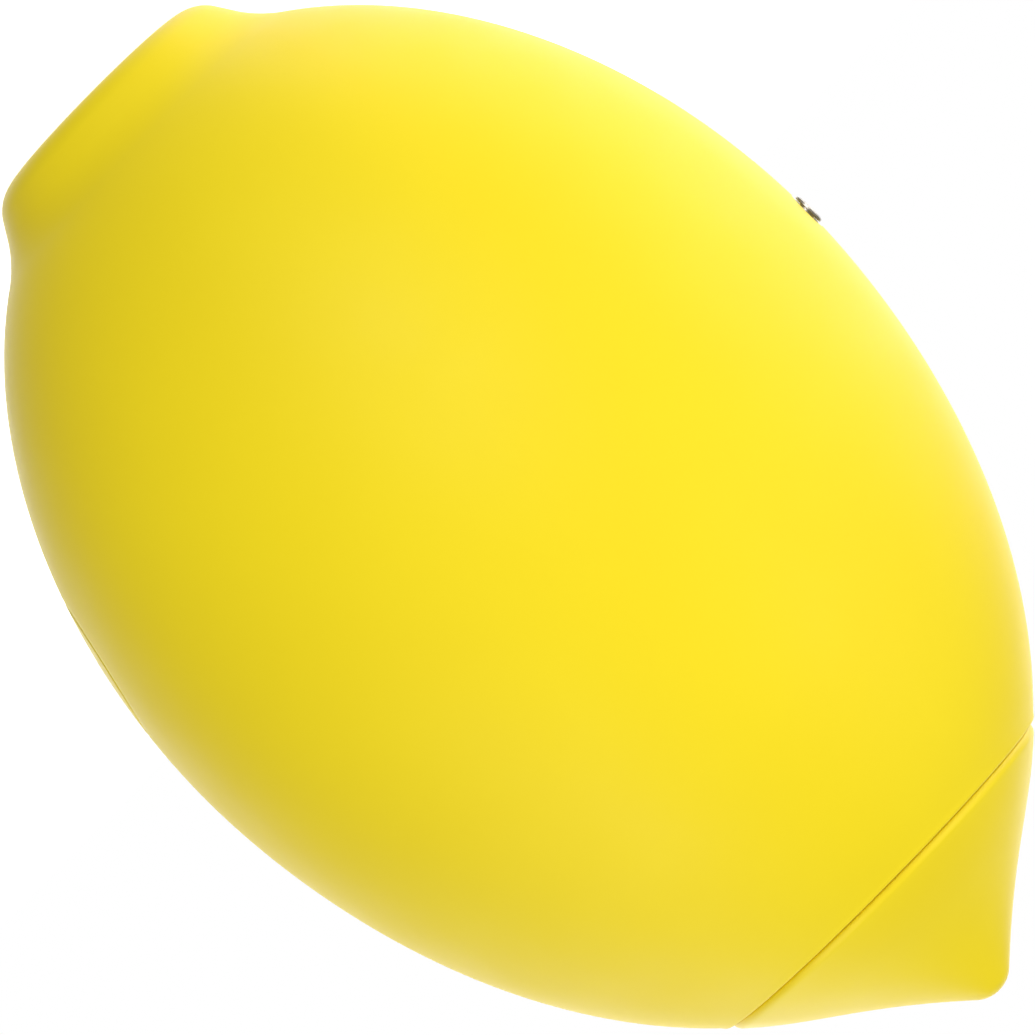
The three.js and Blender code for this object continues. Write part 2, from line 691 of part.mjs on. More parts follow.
// ---- Button, its carrier and the switch ----
const capDepth = SKIN_T + 0.3; // the flange lies this far under the surface
const flangeT = 1.0;
const carrierDepth = Math.max(SHELL_IN_DEPTH + 0.2, capDepth + flangeT + BUTTON_TRAVEL + FIT);
const plungerIn = 1.2; // how far the plunger reaches into the switch

function buttonCap() {
  const core = bodySolid(capDepth + flangeT);
  const face = rodY(BUTTON_D / 2, -reach, -10, 0, BUTTON_Z, 24).intersect(bodySolid(0));
  const flange = rodY(buttonFlangeR, -reach, -10, 0, BUTTON_Z, 24).intersect(bodySolid(capDepth));
  const backY = -insetRadius(BODY_OUTLINE, BUTTON_Z, capDepth + flangeT);
  const stem = rodY(2, backY - 0.5, plungerTipY - 0.05, 0, BUTTON_Z);
  return face.add(flange).subtract(core).add(stem);
}

function buttonCarrier() {
  const plate = rodY(buttonFlangeR + 1.8, -reach, -10, 0, BUTTON_Z, 24);
  const curved = plate.intersect(bodySolid(carrierDepth)).subtract(bodySolid(carrierDepth + 1.1));
  return curved.subtract(rodY(2 + FIT, -reach, 0, 0, BUTTON_Z));
}

function tactSwitch() {
  const half = SWITCH_W / 2;
  const body = box(-half, half, switchFrontY, boardFrontY - SEAT, BUTTON_Z - half, BUTTON_Z + half);
  const wellEndY = switchFrontY + plungerIn + BUTTON_TRAVEL + FIT;
  return body.subtract(rodY(1.7 + FIT, switchFrontY - 1, wellEndY, 0, BUTTON_Z));
}

// ---- Battery ----
function halfSleeve(inR, outR, halfL) {
  const sleeve = rodX(outR, -halfL, halfL, 0, batteryZ, 24);
  const upper = box(-reach, reach, -reach, reach, batteryZ, batteryZ + outR + 1);
  return sleeve.subtract(rodX(inR, -reach, reach, 0, batteryZ, 24)).subtract(upper);
}

function batteryCradle() {
  const sleeve = halfSleeve(cradleInR, cradleR, BATTERY_L / 2 - 3.5);
  const webTopZ = batteryZ - cradleInR - 0.4;
  const web = box(-5.5, 5.5, -4, 4, SHELL_IN_DEPTH + SEAT, webTopZ);
  return sleeve.add(web);
}

function batteryCell() {
  const can = rodX(batteryR, -BATTERY_L / 2, BATTERY_L / 2 - 1, 0, batteryZ, 24);
  const button = rodX(batteryR * 0.35, BATTERY_L / 2 - 1.5, BATTERY_L / 2, 0, batteryZ);
  return can.add(button);
}

// ---- Charging contacts ----
const blockBackY = contactFaceR - 7.6;

function contactBlock() {
  const zs = [CONTACT_Z - BLOCK_HALF_H, CONTACT_Z + BLOCK_HALF_H];
  const back = box(-blockHalfW, blockHalfW, blockBackY, reach, ...zs);
  const body = back.intersect(bodySolid(SHELL_DEPTH + 0.1));
  const nose = roundEnded(pocketHalfW - 0.05, POCKET_H / 2 - 0.05, blockBackY, reach, CONTACT_Z);
  let block = body.add(nose.intersect(bodySolid(POCKET_DEPTH)));
  for (const side of [-1, 1]) {
    const contactX = (side * CONTACT_PITCH) / 2;
    block = block.subtract(rodY(0.8 + 0.2, blockBackY - 1, reach, contactX, CONTACT_Z));
    const magnetX = side * magnetPlaceX;
    const pocketEnd = magnetY + MAGNET_T + 0.2;
    block = block.subtract(rodY(MAGNET_D / 2 + FIT, blockBackY - 1, pocketEnd, magnetX, CONTACT_Z));
  }
  return block;
}

const magnetPlaceX = blockHalfW - MAGNET_D / 2 - 1.0;
const magnetY = blockBackY + 0.4;

function chargingContact(side) {
  const x = (side * CONTACT_PITCH) / 2;
  const topY = contactFaceR + CONTACT_PROUD;
  const head = rodY(CONTACT_D / 2, contactFaceR - 0.08, topY, x, CONTACT_Z, 24);
  return head.add(rodY(0.8, blockBackY - 0.3, topY - 0.1, x, CONTACT_Z, 12));
}

// ---- Circuit board and what is on it ----
function circuitBoard() {
  const half = BOARD_W / 2;
  let board = box(-half, half, boardFrontY, boardBackY, BOARD_LOW_Z, BOARD_LOW_Z + BOARD_H);
  for (const x of [-postX, postX]) {
    board = board.subtract(rodY(0.8 + FIT, boardFrontY - 1, boardBackY + 1, x, postZ));
  }
  return board;
}

function boardScrew(x) {
  const headY = boardBackY + SEAT;
  const head = rodY(1.7, headY, headY + 1.2, x, postZ);
  const shank = rodY(0.8, boardFrontY - 3.5, headY + 0.3, x, postZ, 12);
  const slot = box(x - 1.1, x + 1.1, headY + 0.7, headY + 2, postZ - 0.25, postZ + 0.25);
  return head.add(shank).subtract(slot);
}

const connectorTopZ = BOARD_LOW_Z + BOARD_H - 1;
const partY = boardBackY + SEAT;
const componentZ = postZ - 5.5; // the row of components under the screws

function boardPart(x, width, height, thick) {
  const zs = [componentZ - height / 2, componentZ + height / 2];
  return box(x - width / 2, x + width / 2, partY, partY + thick, ...zs);
}

// ---- Leads ----
function headLead() {
  const startY = boardFrontY - 1.4;
  // It runs up between the shell and the tank, and bends over the tank's roof.
  const wall = wallLine(SHELL_IN_DEPTH + 0.75, SHELF_Z - 1.5, TANK_ROOF_Z + 0.6);
  const underZ = (TANK_TOP_Z - 0.9 + NECK_LOW_Z) / 2;
  return flatLead(
    [[startY, connectorTopZ + 0.1], [startY, connectorTopZ + 1.2],
      ...wall.map(([r, z]) => [-r, z]),
      [-(NECK_OUT_R + 3), underZ + 0.2], [-(TANK_NECK_R + 0.6), underZ + 0.2]],
    0,
    5,
  );
}

function chargeLead() {
  const backY = blockBackY - 0.7;
  const topZ = Math.max(CONTACT_Z + 0.6, connectorTopZ + 1.8);
  return flatLead(
    [[backY, CONTACT_Z - 1.2], [backY, CONTACT_Z], [backY - 0.8, topZ],
      [partY + 2.6, topZ], [partY + 1.4, topZ - 1], [partY + 1.4, connectorTopZ + 0.1]],
    0,
    7.2,
  );
}

function batteryLead() {
  const topZ = batteryZ + batteryR + 0.4;
  return flatLead(
    [[0, topZ], [-6, topZ], [(partY - 6) / 2, topZ + 1.2], [partY + 2.2, topZ + 2.4]],
    -postX + 1.4,
    4,
  );
}

// ---- Assembly ----
const shell = wholeShell();
piece('outer_skin', outerSkin(), YELLOW_SKIN());
piece('left_shell', shellHalf(shell, -1), IVORY());
piece('right_shell', shellHalf(shell, 1), IVORY());
screwPlaces.forEach(([y, z], i) => piece(`shell_screw_${i + 1}`, shellScrew(y, z), STEEL()));
piece('neck_ring', neckRing(), IVORY());
for (const [name, x, r] of pinPlaces) piece(name, springPin(x, r), BRASS());

piece('water_tank', waterTank(), CLEAR());
const gasketLowZ = TANK_TOP_Z + SEAT;
const gasketTopZ = NECK_LOW_Z - SEAT;
piece('tank_gasket', ring(TANK_MOUTH_R, TANK_NECK_R - 0.4, gasketLowZ, gasketTopZ), SEAL());

piece('circuit_board', circuitBoard(), GREEN());
piece('board_screw_left', boardScrew(-postX), STEEL());
piece('board_screw_right', boardScrew(postX), STEEL());
piece('tact_switch', tactSwitch(), DARK());
piece('driver_chip', boardPart(-6.2, 5, 5, 1), DARK());
const coilTop = rodY(2.6, partY, partY + 3, 4.2, componentZ);
piece('power_inductor', boardPart(4.2, 6, 6, 0.6).add(coilTop), DARK());
const batterySocketX = -postX + 1.4;
const batterySocketZ = batteryZ + batteryR + 2.8;
piece(
  'battery_connector',
  box(batterySocketX - 2.6, batterySocketX + 2.6, partY, partY + 2, batterySocketZ - 1.5,
    batterySocketZ + 1),
  WHITE(),
);
piece(
  'head_connector',
  box(-3.2, 3.2, boardFrontY - SEAT - 2.4, boardFrontY - SEAT, connectorTopZ - 2.5, connectorTopZ),
  WHITE(),
);
piece(
  'charge_connector',
  box(-4.2, 4.2, partY, partY + 2.4, connectorTopZ - 2, connectorTopZ),
  WHITE(),
);

piece('battery_cell', batteryCell(), BLUE());
piece('battery_cradle', batteryCradle(), IVORY());
piece('battery_pad', halfSleeve(padInR, padR, BATTERY_L / 2 - 4), DARK());
piece('battery_lead', batteryLead(), AMBER());

piece('contact_block', contactBlock(), YELLOW_SKIN());
piece('charging_contact_left', chargingContact(-1), CHROME());
piece('charging_contact_right', chargingContact(1), CHROME());
for (const [name, side] of [['magnet_left', -1], ['magnet_right', 1]]) {
  const x = side * magnetPlaceX;
  piece(name, rodY(MAGNET_D / 2, magnetY, magnetY + MAGNET_T, x, CONTACT_Z), STEEL());
}
piece('charge_lead', chargeLead(), AMBER());
piece('head_lead', headLead(), AMBER());

piece('button_carrier', buttonCarrier(), IVORY());
piece('button_cap', buttonCap(), YELLOW_SKIN());
piece('switch_plunger', rodY(1.7, plungerTipY, switchFrontY + plungerIn, 0, BUTTON_Z), DARK());

piece('head_body', headBody(), WHITE());
piece('head_seal', roundSeal(PLUG_R - 0.35, plugSealZ), SEAL());
const innerRing = [innerPinR - 0.35, innerPinR + 0.35];
const outerRing = [outerPinR - 0.35, outerPinR + 0.35];
piece('contact_ring_inner', ring(...innerRing, FLANGE_Z + 0.1, ringTopZ - 0.05), BRASS());
piece('contact_ring_outer', ring(...outerRing, FLANGE_Z + 0.1, ringTopZ - 0.05), BRASS());
const discRing = (inR, outR, z, thick) => ring(inR, outR, z, z + thick, SMALL_TURN);
piece('lower_gasket', discRing(PIEZO_R - 2.5, PIEZO_R, lowerGasketZ, 0.5), SEAL());
piece('mesh_plate', disc(PIEZO_R, meshZ, meshZ + MESH_T, SMALL_TURN), STEEL());
piece('piezo_ring', discRing(3.4, PIEZO_R - 0.2, piezoZ, PIEZO_T), CERAMIC());
piece('upper_gasket', discRing(PIEZO_R - 2, PIEZO_R, upperGasketZ, 0.5), SEAL());
piece('head_cover', headCover(), WHITE());
piece('wick_tube', wickTube(), WHITE());
piece('wick', disc(WICK_R, springTopZ + 0.5, meshZ - 0.1, SMALL_TURN), COTTON());
piece('wick_spring', wickSpring(), STEEL());

piece('nose_cap', noseCap(), YELLOW_SKIN());
piece('cap_collar', capCollar(), WHITE());
piece('cap_seal', roundSeal(COLLAR_R - 0.35, collarSealZ), SEAL());

export default lemon;
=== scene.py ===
# %% [markdown]
# # A lemon-shaped mist sprayer
#
# The object is a rechargeable sprayer in the shape of a lemon. It stands on its flat stem end,
# a pointed nose cap closes the other end, a round button lies flush in the front and two
# charging contacts sit in a small pocket at the back. Inside are two shell halves, a battery,
# a circuit board, a water tank and a mist head that lifts out with its wick.
#
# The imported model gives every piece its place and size. This lesson makes the fine surfaces
# around it: the turned pieces are spun from an outline, as a lathe or a mould maker would make
# them, and every finish is a procedural material.

# %% The frame
import math

import bmesh
import bpy
from mathutils import Matrix, Vector


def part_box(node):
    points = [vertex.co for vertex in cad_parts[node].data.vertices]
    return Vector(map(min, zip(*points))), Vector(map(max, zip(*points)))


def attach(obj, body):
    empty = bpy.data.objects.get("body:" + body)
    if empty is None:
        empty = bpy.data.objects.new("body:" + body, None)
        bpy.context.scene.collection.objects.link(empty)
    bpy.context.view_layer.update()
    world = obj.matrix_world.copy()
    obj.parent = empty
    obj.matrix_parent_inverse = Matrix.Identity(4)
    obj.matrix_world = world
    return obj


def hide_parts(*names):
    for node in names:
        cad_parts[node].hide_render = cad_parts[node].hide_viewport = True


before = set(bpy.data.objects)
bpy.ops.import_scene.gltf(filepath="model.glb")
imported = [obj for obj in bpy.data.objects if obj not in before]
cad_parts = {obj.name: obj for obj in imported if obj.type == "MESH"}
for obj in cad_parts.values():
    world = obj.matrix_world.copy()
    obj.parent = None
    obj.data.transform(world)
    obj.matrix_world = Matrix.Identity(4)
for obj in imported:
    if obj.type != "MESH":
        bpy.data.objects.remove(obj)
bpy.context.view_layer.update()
MM = 0.001

# %% [markdown]
# ## Measures
#
# Lengths in this lesson are millimetres, and `MM` turns them into metres at the last moment.
# A measure could be typed in again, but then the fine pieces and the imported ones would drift
# apart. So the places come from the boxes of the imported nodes, and only what a box can't tell,
# such as the roundness of a curve, is a number here.

# %% Measures from the frame


def node_box(node):
    """Lowest and highest corner of a node, in millimetres."""
    low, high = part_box(node)
    return Vector(low) / MM, Vector(high) / MM


skin_low, skin_high = node_box("outer_skin")
cap_low, cap_high = node_box("nose_cap")
BODY_R = skin_high.x
MOUTH_Z = skin_high.z
SEAM_Z = cap_low.z
TIP_Z = cap_high.z
CAP_R = cap_high.x
CENTRE_Z = TIP_Z / 2
ring_corners = [v.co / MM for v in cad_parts["outer_skin"].data.vertices]
EQUATOR_Z = max(ring_corners, key=lambda c: round(math.hypot(c.x, c.y), 2)).z
SKIN_T = 1.6
MOUTH_R = CAP_R + 0.4
print("body radius", round(BODY_R, 2), "equator", round(EQUATOR_Z, 2), "seam", round(SEAM_Z, 2))

# %% [markdown]
# ## The camera
#
# The lemon is seen from its left side, at right angles to its axis, with the nose down to the
# right. That is a camera level with the middle of the body and rolled about its own view line.
# A rotation could be typed as three angles, but the two screen directions are easier to read:
# the columns of a rotation matrix are the camera's right, up and back.

# %% The camera
VIEW_DISTANCE = 637.0  # from the axis, along -X
VIEW_WIDTH = 81.58  # width of the picture at the axis
VIEW_Y = -0.1
VIEW_Z = 46.8
ROLL_COS = 0.7014
ROLL_SIN = 0.7127

camera_data = bpy.data.cameras.new("camera")
camera_data.sensor_width = 36
camera_data.lens = 36 * VIEW_DISTANCE / VIEW_WIDTH
camera_data.clip_start = 0.01
camera_data.clip_end = 50
camera = bpy.data.objects.new("camera", camera_data)
right = Vector((0, ROLL_COS, ROLL_SIN))
up = Vector((0, ROLL_SIN, -ROLL_COS))
turn = Matrix((right, up, right.cross(up))).transposed()
place = Matrix.Translation(Vector((-VIEW_DISTANCE, VIEW_Y, VIEW_Z)) * MM)
camera.matrix_world = place @ turn.to_4x4()
bpy.context.scene.collection.objects.link(camera)
bpy.context.scene.camera = camera
print("lens", round(camera_data.lens, 1), "mm")

# %% [markdown]
# ## Finishes
#
# Every finish is a Principled shader. One flat colour would look like a drawing, so three soft
# patterns of noise steer it: a broad one shifts the colour a little, a finer one varies the
# roughness, and the finest one is a bump that stands for the texture of the mould. The
# patterns read Object coordinates, which are metres in the object's own frame, so that they
# stay at their real size on every piece and need no unwrapping.

# %% Helpers for finishes


def new_material(name):
    """An empty material with its shader, and the means to add and join nodes."""
    material = bpy.data.materials.new(name)
    material.use_nodes = True
    tree = material.node_tree
    shader = tree.nodes["Principled BSDF"]
    place = tree.nodes.new("ShaderNodeTexCoord").outputs["Object"]
    return material, tree, shader, place


def noise(tree, place, size, detail=3.0, stretch=None):
    """A noise pattern with features of about that size in millimetres."""
    if stretch:
        mapping = tree.nodes.new("ShaderNodeMapping")
        mapping.inputs["Scale"].default_value = stretch
        tree.links.new(place, mapping.inputs["Vector"])
        place = mapping.outputs["Vector"]
    node = tree.nodes.new("ShaderNodeTexNoise")
    node.inputs["Scale"].default_value = 1 / (size * MM)
    node.inputs["Detail"].default_value = detail
    tree.links.new(place, node.inputs["Vector"])
    return node.outputs["Fac"]


def remap(tree, value, low, high, from_low=0.3, from_high=0.7):
    """A pattern turned into a range of values."""
    node = tree.nodes.new("ShaderNodeMapRange")
    node.inputs["From Min"].default_value = from_low
    node.inputs["From Max"].default_value = from_high
    node.inputs["To Min"].default_value = low
    node.inputs["To Max"].default_value = high
    tree.links.new(value, node.inputs["Value"])
    return node.outputs["Result"]


def blend_colours(tree, value, first, second):
    """A colour between two colours, by a value from 0 to 1."""
    node = tree.nodes.new("ShaderNodeMix")
    node.data_type = "RGBA"
    node.inputs["A"].default_value = (*first, 1) if isinstance(first, tuple) else (0, 0, 0, 1)
    node.inputs["B"].default_value = (*second, 1) if isinstance(second, tuple) else (0, 0, 0, 1)
    for socket, colour in (("A", first), ("B", second)):
        if not isinstance(colour, tuple):
            tree.links.new(colour, node.inputs[socket])
    tree.links.new(value, node.inputs["Factor"])
    return node.outputs["Result"]


def add_bump(tree, shader, height, depth, strength=1.0):
    """A bump of that depth in millimetres, on top of any bump that is there already."""
    node = tree.nodes.new("ShaderNodeBump")
    node.inputs["Distance"].default_value = depth * MM
    node.inputs["Strength"].default_value = strength
    tree.links.new(height, node.inputs["Height"])
    normal = shader.inputs["Normal"]
    if normal.is_linked:
        tree.links.new(normal.links[0].from_socket, node.inputs["Normal"])
    tree.links.new(node.outputs["Normal"], normal)


def finish(name, colour, second, roughness, grain=0.3, bump=0.004, cloud=12.0, **sockets):
    """A moulded, cast or rolled finish with cloudy colour, uneven gloss and a fine grain."""
    material, tree, shader, place = new_material(name)
    for socket, value in sockets.items():
        shader.inputs[socket.replace("_", " ")].default_value = value
    mixed = blend_colours(tree, remap(tree, noise(tree, place, cloud), 0, 1), colour, second)
    tree.links.new(mixed, shader.inputs["Base Color"])
    gloss = remap(tree, noise(tree, place, cloud / 3, 5), *roughness)
    tree.links.new(gloss, shader.inputs["Roughness"])
    add_bump(tree, shader, noise(tree, place, grain, 2), bump)
    return material


# %% [markdown]
# ## The yellow of the body
#
# The outside is one soft yellow, but two pieces make it: the skin is a soft-touch rubber and
# the nose cap, button and contact block are hard plastic. On the real thing they match, so
# both finishes share their colours and differ only in grain and sheen. Rubber has a fine
# powdery mould grain that spreads the light, and a weak sheen at its edges.

# %% Yellow finishes
LEMON = (0.87, 0.680, 0.008)
LEMON_DEEP = (0.85, 0.655, 0.007)


def soft_skin():
    material = finish(
        "yellow_soft_skin", LEMON, LEMON_DEEP, (0.50, 0.57), grain=0.22, bump=0.0016, cloud=22,
        Specular_IOR_Level=0.22, Sheen_Weight=0.10, Sheen_Roughness=0.35,
    )
    tree = material.node_tree
    shader = tree.nodes["Principled BSDF"]
    place = tree.nodes["Texture Coordinate"].outputs["Object"]
    add_bump(tree, shader, noise(tree, place, 5.0, 1), 0.010)
    return material


def hard_yellow():
    return finish(
        "yellow_hard_plastic", LEMON_DEEP, LEMON, (0.44, 0.50), grain=0.35, bump=0.0012, cloud=16,
        Specular_IOR_Level=0.30, Sheen_Weight=0.06, Sheen_Roughness=0.35,
    )


SKIN = soft_skin()
YELLOW = hard_yellow()

# %% [markdown]
# ## Finishes of the inside
#
# What shows when the cap and the mist head are lifted, or when the case is open: white and
# ivory mouldings, clear tank, silicone seals, plated metal, ceramic, cotton, a circuit board
# and its leads. Most are the same recipe with other numbers. The ones with a pattern of their
# own are below: a fine pattern of holes, a silvered ring, fibres, foam cells and copper lines.

# %% Plastics, rubber and metals
IVORY = finish(
    "ivory_moulded", (0.64, 0.61, 0.49), (0.60, 0.57, 0.46), (0.42, 0.55), grain=0.25, bump=0.008,
)
WHITE_PLASTIC = finish(
    "white_moulded", (0.64, 0.64, 0.63), (0.60, 0.60, 0.59), (0.20, 0.32), grain=0.6, bump=0.003,
    cloud=8, Specular_IOR_Level=0.5,
)
BLACK_PLASTIC = finish(
    "black_moulded", (0.020, 0.020, 0.022), (0.034, 0.034, 0.038), (0.36, 0.55), grain=0.2,
    bump=0.006, cloud=3,
)
SEAL = finish(
    "silicone_rubber", (0.50, 0.50, 0.48), (0.45, 0.45, 0.43), (0.36, 0.52), grain=0.3,
    bump=0.003, cloud=4, Subsurface_Weight=0.25, Subsurface_Scale=0.0006,
)
STEEL = finish(
    "plain_steel", (0.62, 0.63, 0.65), (0.54, 0.55, 0.57), (0.20, 0.36), grain=0.15,
    bump=0.002, cloud=3, Metallic=1.0,
)
NICKEL = finish(
    "nickel_plate", (0.66, 0.64, 0.60), (0.60, 0.58, 0.55), (0.12, 0.24), grain=0.2, bump=0.001,
    cloud=2, Metallic=1.0,
)
CONTACT_METAL = finish(
    "brushed_contact", (0.44, 0.41, 0.37), (0.37, 0.35, 0.31), (0.32, 0.42), grain=0.12,
    bump=0.0006, cloud=1.5, Metallic=1.0,
)
GOLD = finish(
    "gold_plate", (0.87, 0.63, 0.25), (0.80, 0.56, 0.20), (0.14, 0.28), grain=0.15, bump=0.001,
    cloud=2, Metallic=1.0,
)
CLEAR_TANK = finish(
    "clear_moulded", (0.90, 0.96, 0.97), (0.86, 0.94, 0.96), (0.04, 0.10), grain=4, bump=0.01,
    cloud=20, Transmission_Weight=1.0, IOR=1.49,
)

# %% [markdown]
# ## Building blocks for patterns
#
# Some finishes carry a real pattern: holes, a silvered ring, copper lines. An image could hold
# it, but it would need an unwrapped surface and would blur up close. A pattern worked out from
# the place on the piece is sharp at any distance, and these few blocks are enough for all of
# them: arithmetic, a ring about the axis, one coordinate on its own, and a field of cells.

# %% Helpers for patterns


def maths(tree, operation, first, second=None):
    node = tree.nodes.new("ShaderNodeMath")
    node.operation = operation
    for socket, value in zip(node.inputs, (first, second)):
        if isinstance(value, (int, float)):
            socket.default_value = value
        elif value is not None:
            tree.links.new(value, socket)
    return node.outputs["Value"]


def radius_mask(tree, place, inner, outer):
    """1 between two radii about the Z axis, in millimetres, and 0 elsewhere."""
    flat = tree.nodes.new("ShaderNodeVectorMath")
    flat.operation = "MULTIPLY"
    flat.inputs[1].default_value = (1, 1, 0)
    tree.links.new(place, flat.inputs[0])
    length = tree.nodes.new("ShaderNodeVectorMath")
    length.operation = "LENGTH"
    tree.links.new(flat.outputs["Vector"], length.inputs[0])
    radius = length.outputs["Value"]
    above = maths(tree, "GREATER_THAN", radius, inner * MM)
    below = maths(tree, "LESS_THAN", radius, outer * MM)
    return maths(tree, "MULTIPLY", above, below)


def along_axis(tree, place, axis):
    split = tree.nodes.new("ShaderNodeSeparateXYZ")
    tree.links.new(place, split.inputs["Vector"])
    return split.outputs[axis]


def cells(tree, place, size, feature="F1"):
    node = tree.nodes.new("ShaderNodeTexVoronoi")
    node.feature = feature
    node.inputs["Scale"].default_value = 1 / (size * MM)
    tree.links.new(place, node.inputs["Vector"])
    return node.outputs["Distance"]


# %% [markdown]
# ## Plate and ceramic ring
#
# The steel plate is pierced by a laser with holes too fine to model one by one, so they are a
# field of dark dots inside the working circle. The ceramic ring is sandy clay with silver
# baked onto its face, because current has to reach it there.

# %% Plate with fine holes, and silvered ceramic
HOLES_R = 2.1
SILVER = (0.72, 0.71, 0.68)


def mesh_steel():
    material, tree, shader, place = new_material("plate_with_fine_holes")
    holes = maths(tree, "LESS_THAN", cells(tree, place, 0.16), 0.28)
    holes = maths(tree, "MULTIPLY", holes, radius_mask(tree, place, 0, HOLES_R))
    cloud = blend_colours(
        tree, remap(tree, noise(tree, place, 2.5), 0, 1), (0.66, 0.67, 0.69), (0.56, 0.57, 0.60),
    )
    colour = blend_colours(tree, holes, cloud, (0.05, 0.05, 0.055))
    tree.links.new(colour, shader.inputs["Base Color"])
    shader.inputs["Metallic"].default_value = 1.0
    gloss = remap(tree, noise(tree, place, 0.8, 5), 0.18, 0.34)
    tree.links.new(gloss, shader.inputs["Roughness"])
    add_bump(tree, shader, maths(tree, "SUBTRACT", 1, holes), 0.02)
    return material


def silvered_ceramic():
    material, tree, shader, place = new_material("silvered_ceramic")
    silver = radius_mask(tree, place, 3.9, 7.3)
    clay = blend_colours(
        tree, remap(tree, noise(tree, place, 1.0, 6), 0, 1), (0.62, 0.52, 0.33), (0.52, 0.43, 0.27),
    )
    bright = blend_colours(
        tree, remap(tree, noise(tree, place, 0.7, 6), 0, 1), SILVER, (0.60, 0.59, 0.56),
    )
    tree.links.new(blend_colours(tree, silver, clay, bright), shader.inputs["Base Color"])
    tree.links.new(silver, shader.inputs["Metallic"])
    gloss = remap(tree, noise(tree, place, 0.5, 5), 0.34, 0.52)
    tree.links.new(gloss, shader.inputs["Roughness"])
    add_bump(tree, shader, noise(tree, place, 0.12, 2), 0.004)
    return material


MESH_STEEL = mesh_steel()
CERAMIC = silvered_ceramic()

# %% [markdown]
# ## Cotton and foam
#
# The wick is a rod of pressed fibres that run along it, so its noise is stretched along the
# axis. The battery pad is black foam, where each cell is a small hollow. Its colour carries
# painted shade: darker towards the middle of each cell, where the hollow is deepest.

# %% Cotton and foam


def cotton():
    material, tree, shader, place = new_material("packed_cotton")
    fibres = noise(tree, place, 0.18, 4, stretch=(1, 1, 0.12))
    fluff = noise(tree, place, 0.6, 5)
    colour = blend_colours(tree, remap(tree, fibres, 0, 1), (0.86, 0.84, 0.78), (0.74, 0.71, 0.63))
    tree.links.new(colour, shader.inputs["Base Color"])
    shader.inputs["Sheen Weight"].default_value = 0.3
    tree.links.new(remap(tree, fluff, 0.85, 0.98), shader.inputs["Roughness"])
    add_bump(tree, shader, fibres, 0.05)
    add_bump(tree, shader, fluff, 0.06)
    return material


def foam():
    material, tree, shader, place = new_material("fine_foam")
    bubbles = cells(tree, place, 0.35)
    # Painted shade: the colour darkens towards the middle of each cell, the bottom of its hollow.
    colour = blend_colours(tree, bubbles, (0.012, 0.012, 0.014), (0.06, 0.06, 0.065))
    tree.links.new(colour, shader.inputs["Base Color"])
    tree.links.new(remap(tree, bubbles, 0.8, 0.98, 0, 1), shader.inputs["Roughness"])
    add_bump(tree, shader, bubbles, 0.12)
    return material


COTTON = cotton()
FOAM = foam()

# %% [markdown]
# ## Board, leads and battery film
#
# The board has copper lines under a green mask and bright pads. The flat leads are copper
# strips between two films, and the battery wears a shrunk blue film that leaves its metal ends
# bare. Lines, strips and ends could be cut as faces, but none of them has any height that
# would show.

# %% Circuit board, flat leads and battery film
BATTERY_END = 15.7


def board_green():
    material, tree, shader, place = new_material("board_with_copper_lines")
    turned_place = tree.nodes.new("ShaderNodeMapping")
    turned_place.inputs["Rotation"].default_value = (math.pi / 2, 0, 0)
    tree.links.new(place, turned_place.inputs["Vector"])
    lines = tree.nodes.new("ShaderNodeTexBrick")
    lines.inputs["Scale"].default_value = 1 / (3.2 * MM)
    lines.inputs["Mortar Size"].default_value = 0.05
    lines.inputs["Mortar Smooth"].default_value = 0.2
    tree.links.new(turned_place.outputs["Vector"], lines.inputs["Vector"])
    copper = lines.outputs["Fac"]
    pads = maths(tree, "LESS_THAN", cells(tree, place, 2.6), 0.13)
    mask = blend_colours(
        tree, remap(tree, noise(tree, place, 3.0), 0, 1), (0.010, 0.120, 0.045), (0.008, 0.095, 0.038),
    )
    lined = blend_colours(tree, copper, mask, (0.030, 0.220, 0.080))
    tree.links.new(blend_colours(tree, pads, lined, (0.80, 0.60, 0.26)), shader.inputs["Base Color"])
    tree.links.new(pads, shader.inputs["Metallic"])
    gloss = remap(tree, noise(tree, place, 1.0, 4), 0.22, 0.36)
    tree.links.new(gloss, shader.inputs["Roughness"])
    add_bump(tree, shader, maths(tree, "ADD", copper, pads), 0.03)
    return material


def flat_lead():
    material, tree, shader, place = new_material("film_over_copper_strips")
    strips = tree.nodes.new("ShaderNodeTexWave")
    strips.wave_type = "BANDS"
    strips.bands_direction = "X"
    strips.inputs["Scale"].default_value = 0.314 / (0.9 * MM)
    strips.inputs["Distortion"].default_value = 0.0
    tree.links.new(place, strips.inputs["Vector"])
    strip = remap(tree, strips.outputs["Fac"], 0, 1, 0.45, 0.55)
    film = blend_colours(
        tree, remap(tree, noise(tree, place, 3.0), 0, 1), (0.34, 0.13, 0.015), (0.28, 0.10, 0.010),
    )
    tree.links.new(blend_colours(tree, strip, film, (0.72, 0.34, 0.07)), shader.inputs["Base Color"])
    gloss = remap(tree, noise(tree, place, 0.8, 4), 0.22, 0.40)
    tree.links.new(gloss, shader.inputs["Roughness"])
    add_bump(tree, shader, strip, 0.03)
    return material


def battery_film():
    material, tree, shader, place = new_material("battery_shrink_film")
    distance = maths(tree, "ABSOLUTE", along_axis(tree, place, "X"))
    can = maths(tree, "GREATER_THAN", distance, BATTERY_END * MM)
    film = blend_colours(
        tree, remap(tree, noise(tree, place, 9.0), 0, 1), (0.020, 0.115, 0.360), (0.015, 0.095, 0.310),
    )
    tree.links.new(blend_colours(tree, can, film, SILVER), shader.inputs["Base Color"])
    tree.links.new(can, shader.inputs["Metallic"])
    gloss = remap(tree, noise(tree, place, 2.0, 4), 0.20, 0.34)
    tree.links.new(gloss, shader.inputs["Roughness"])
    wrinkles = noise(tree, place, 1.6, 3, stretch=(0.3, 1, 1))
    add_bump(tree, shader, wrinkles, 0.05, strength=0.5)
    return material


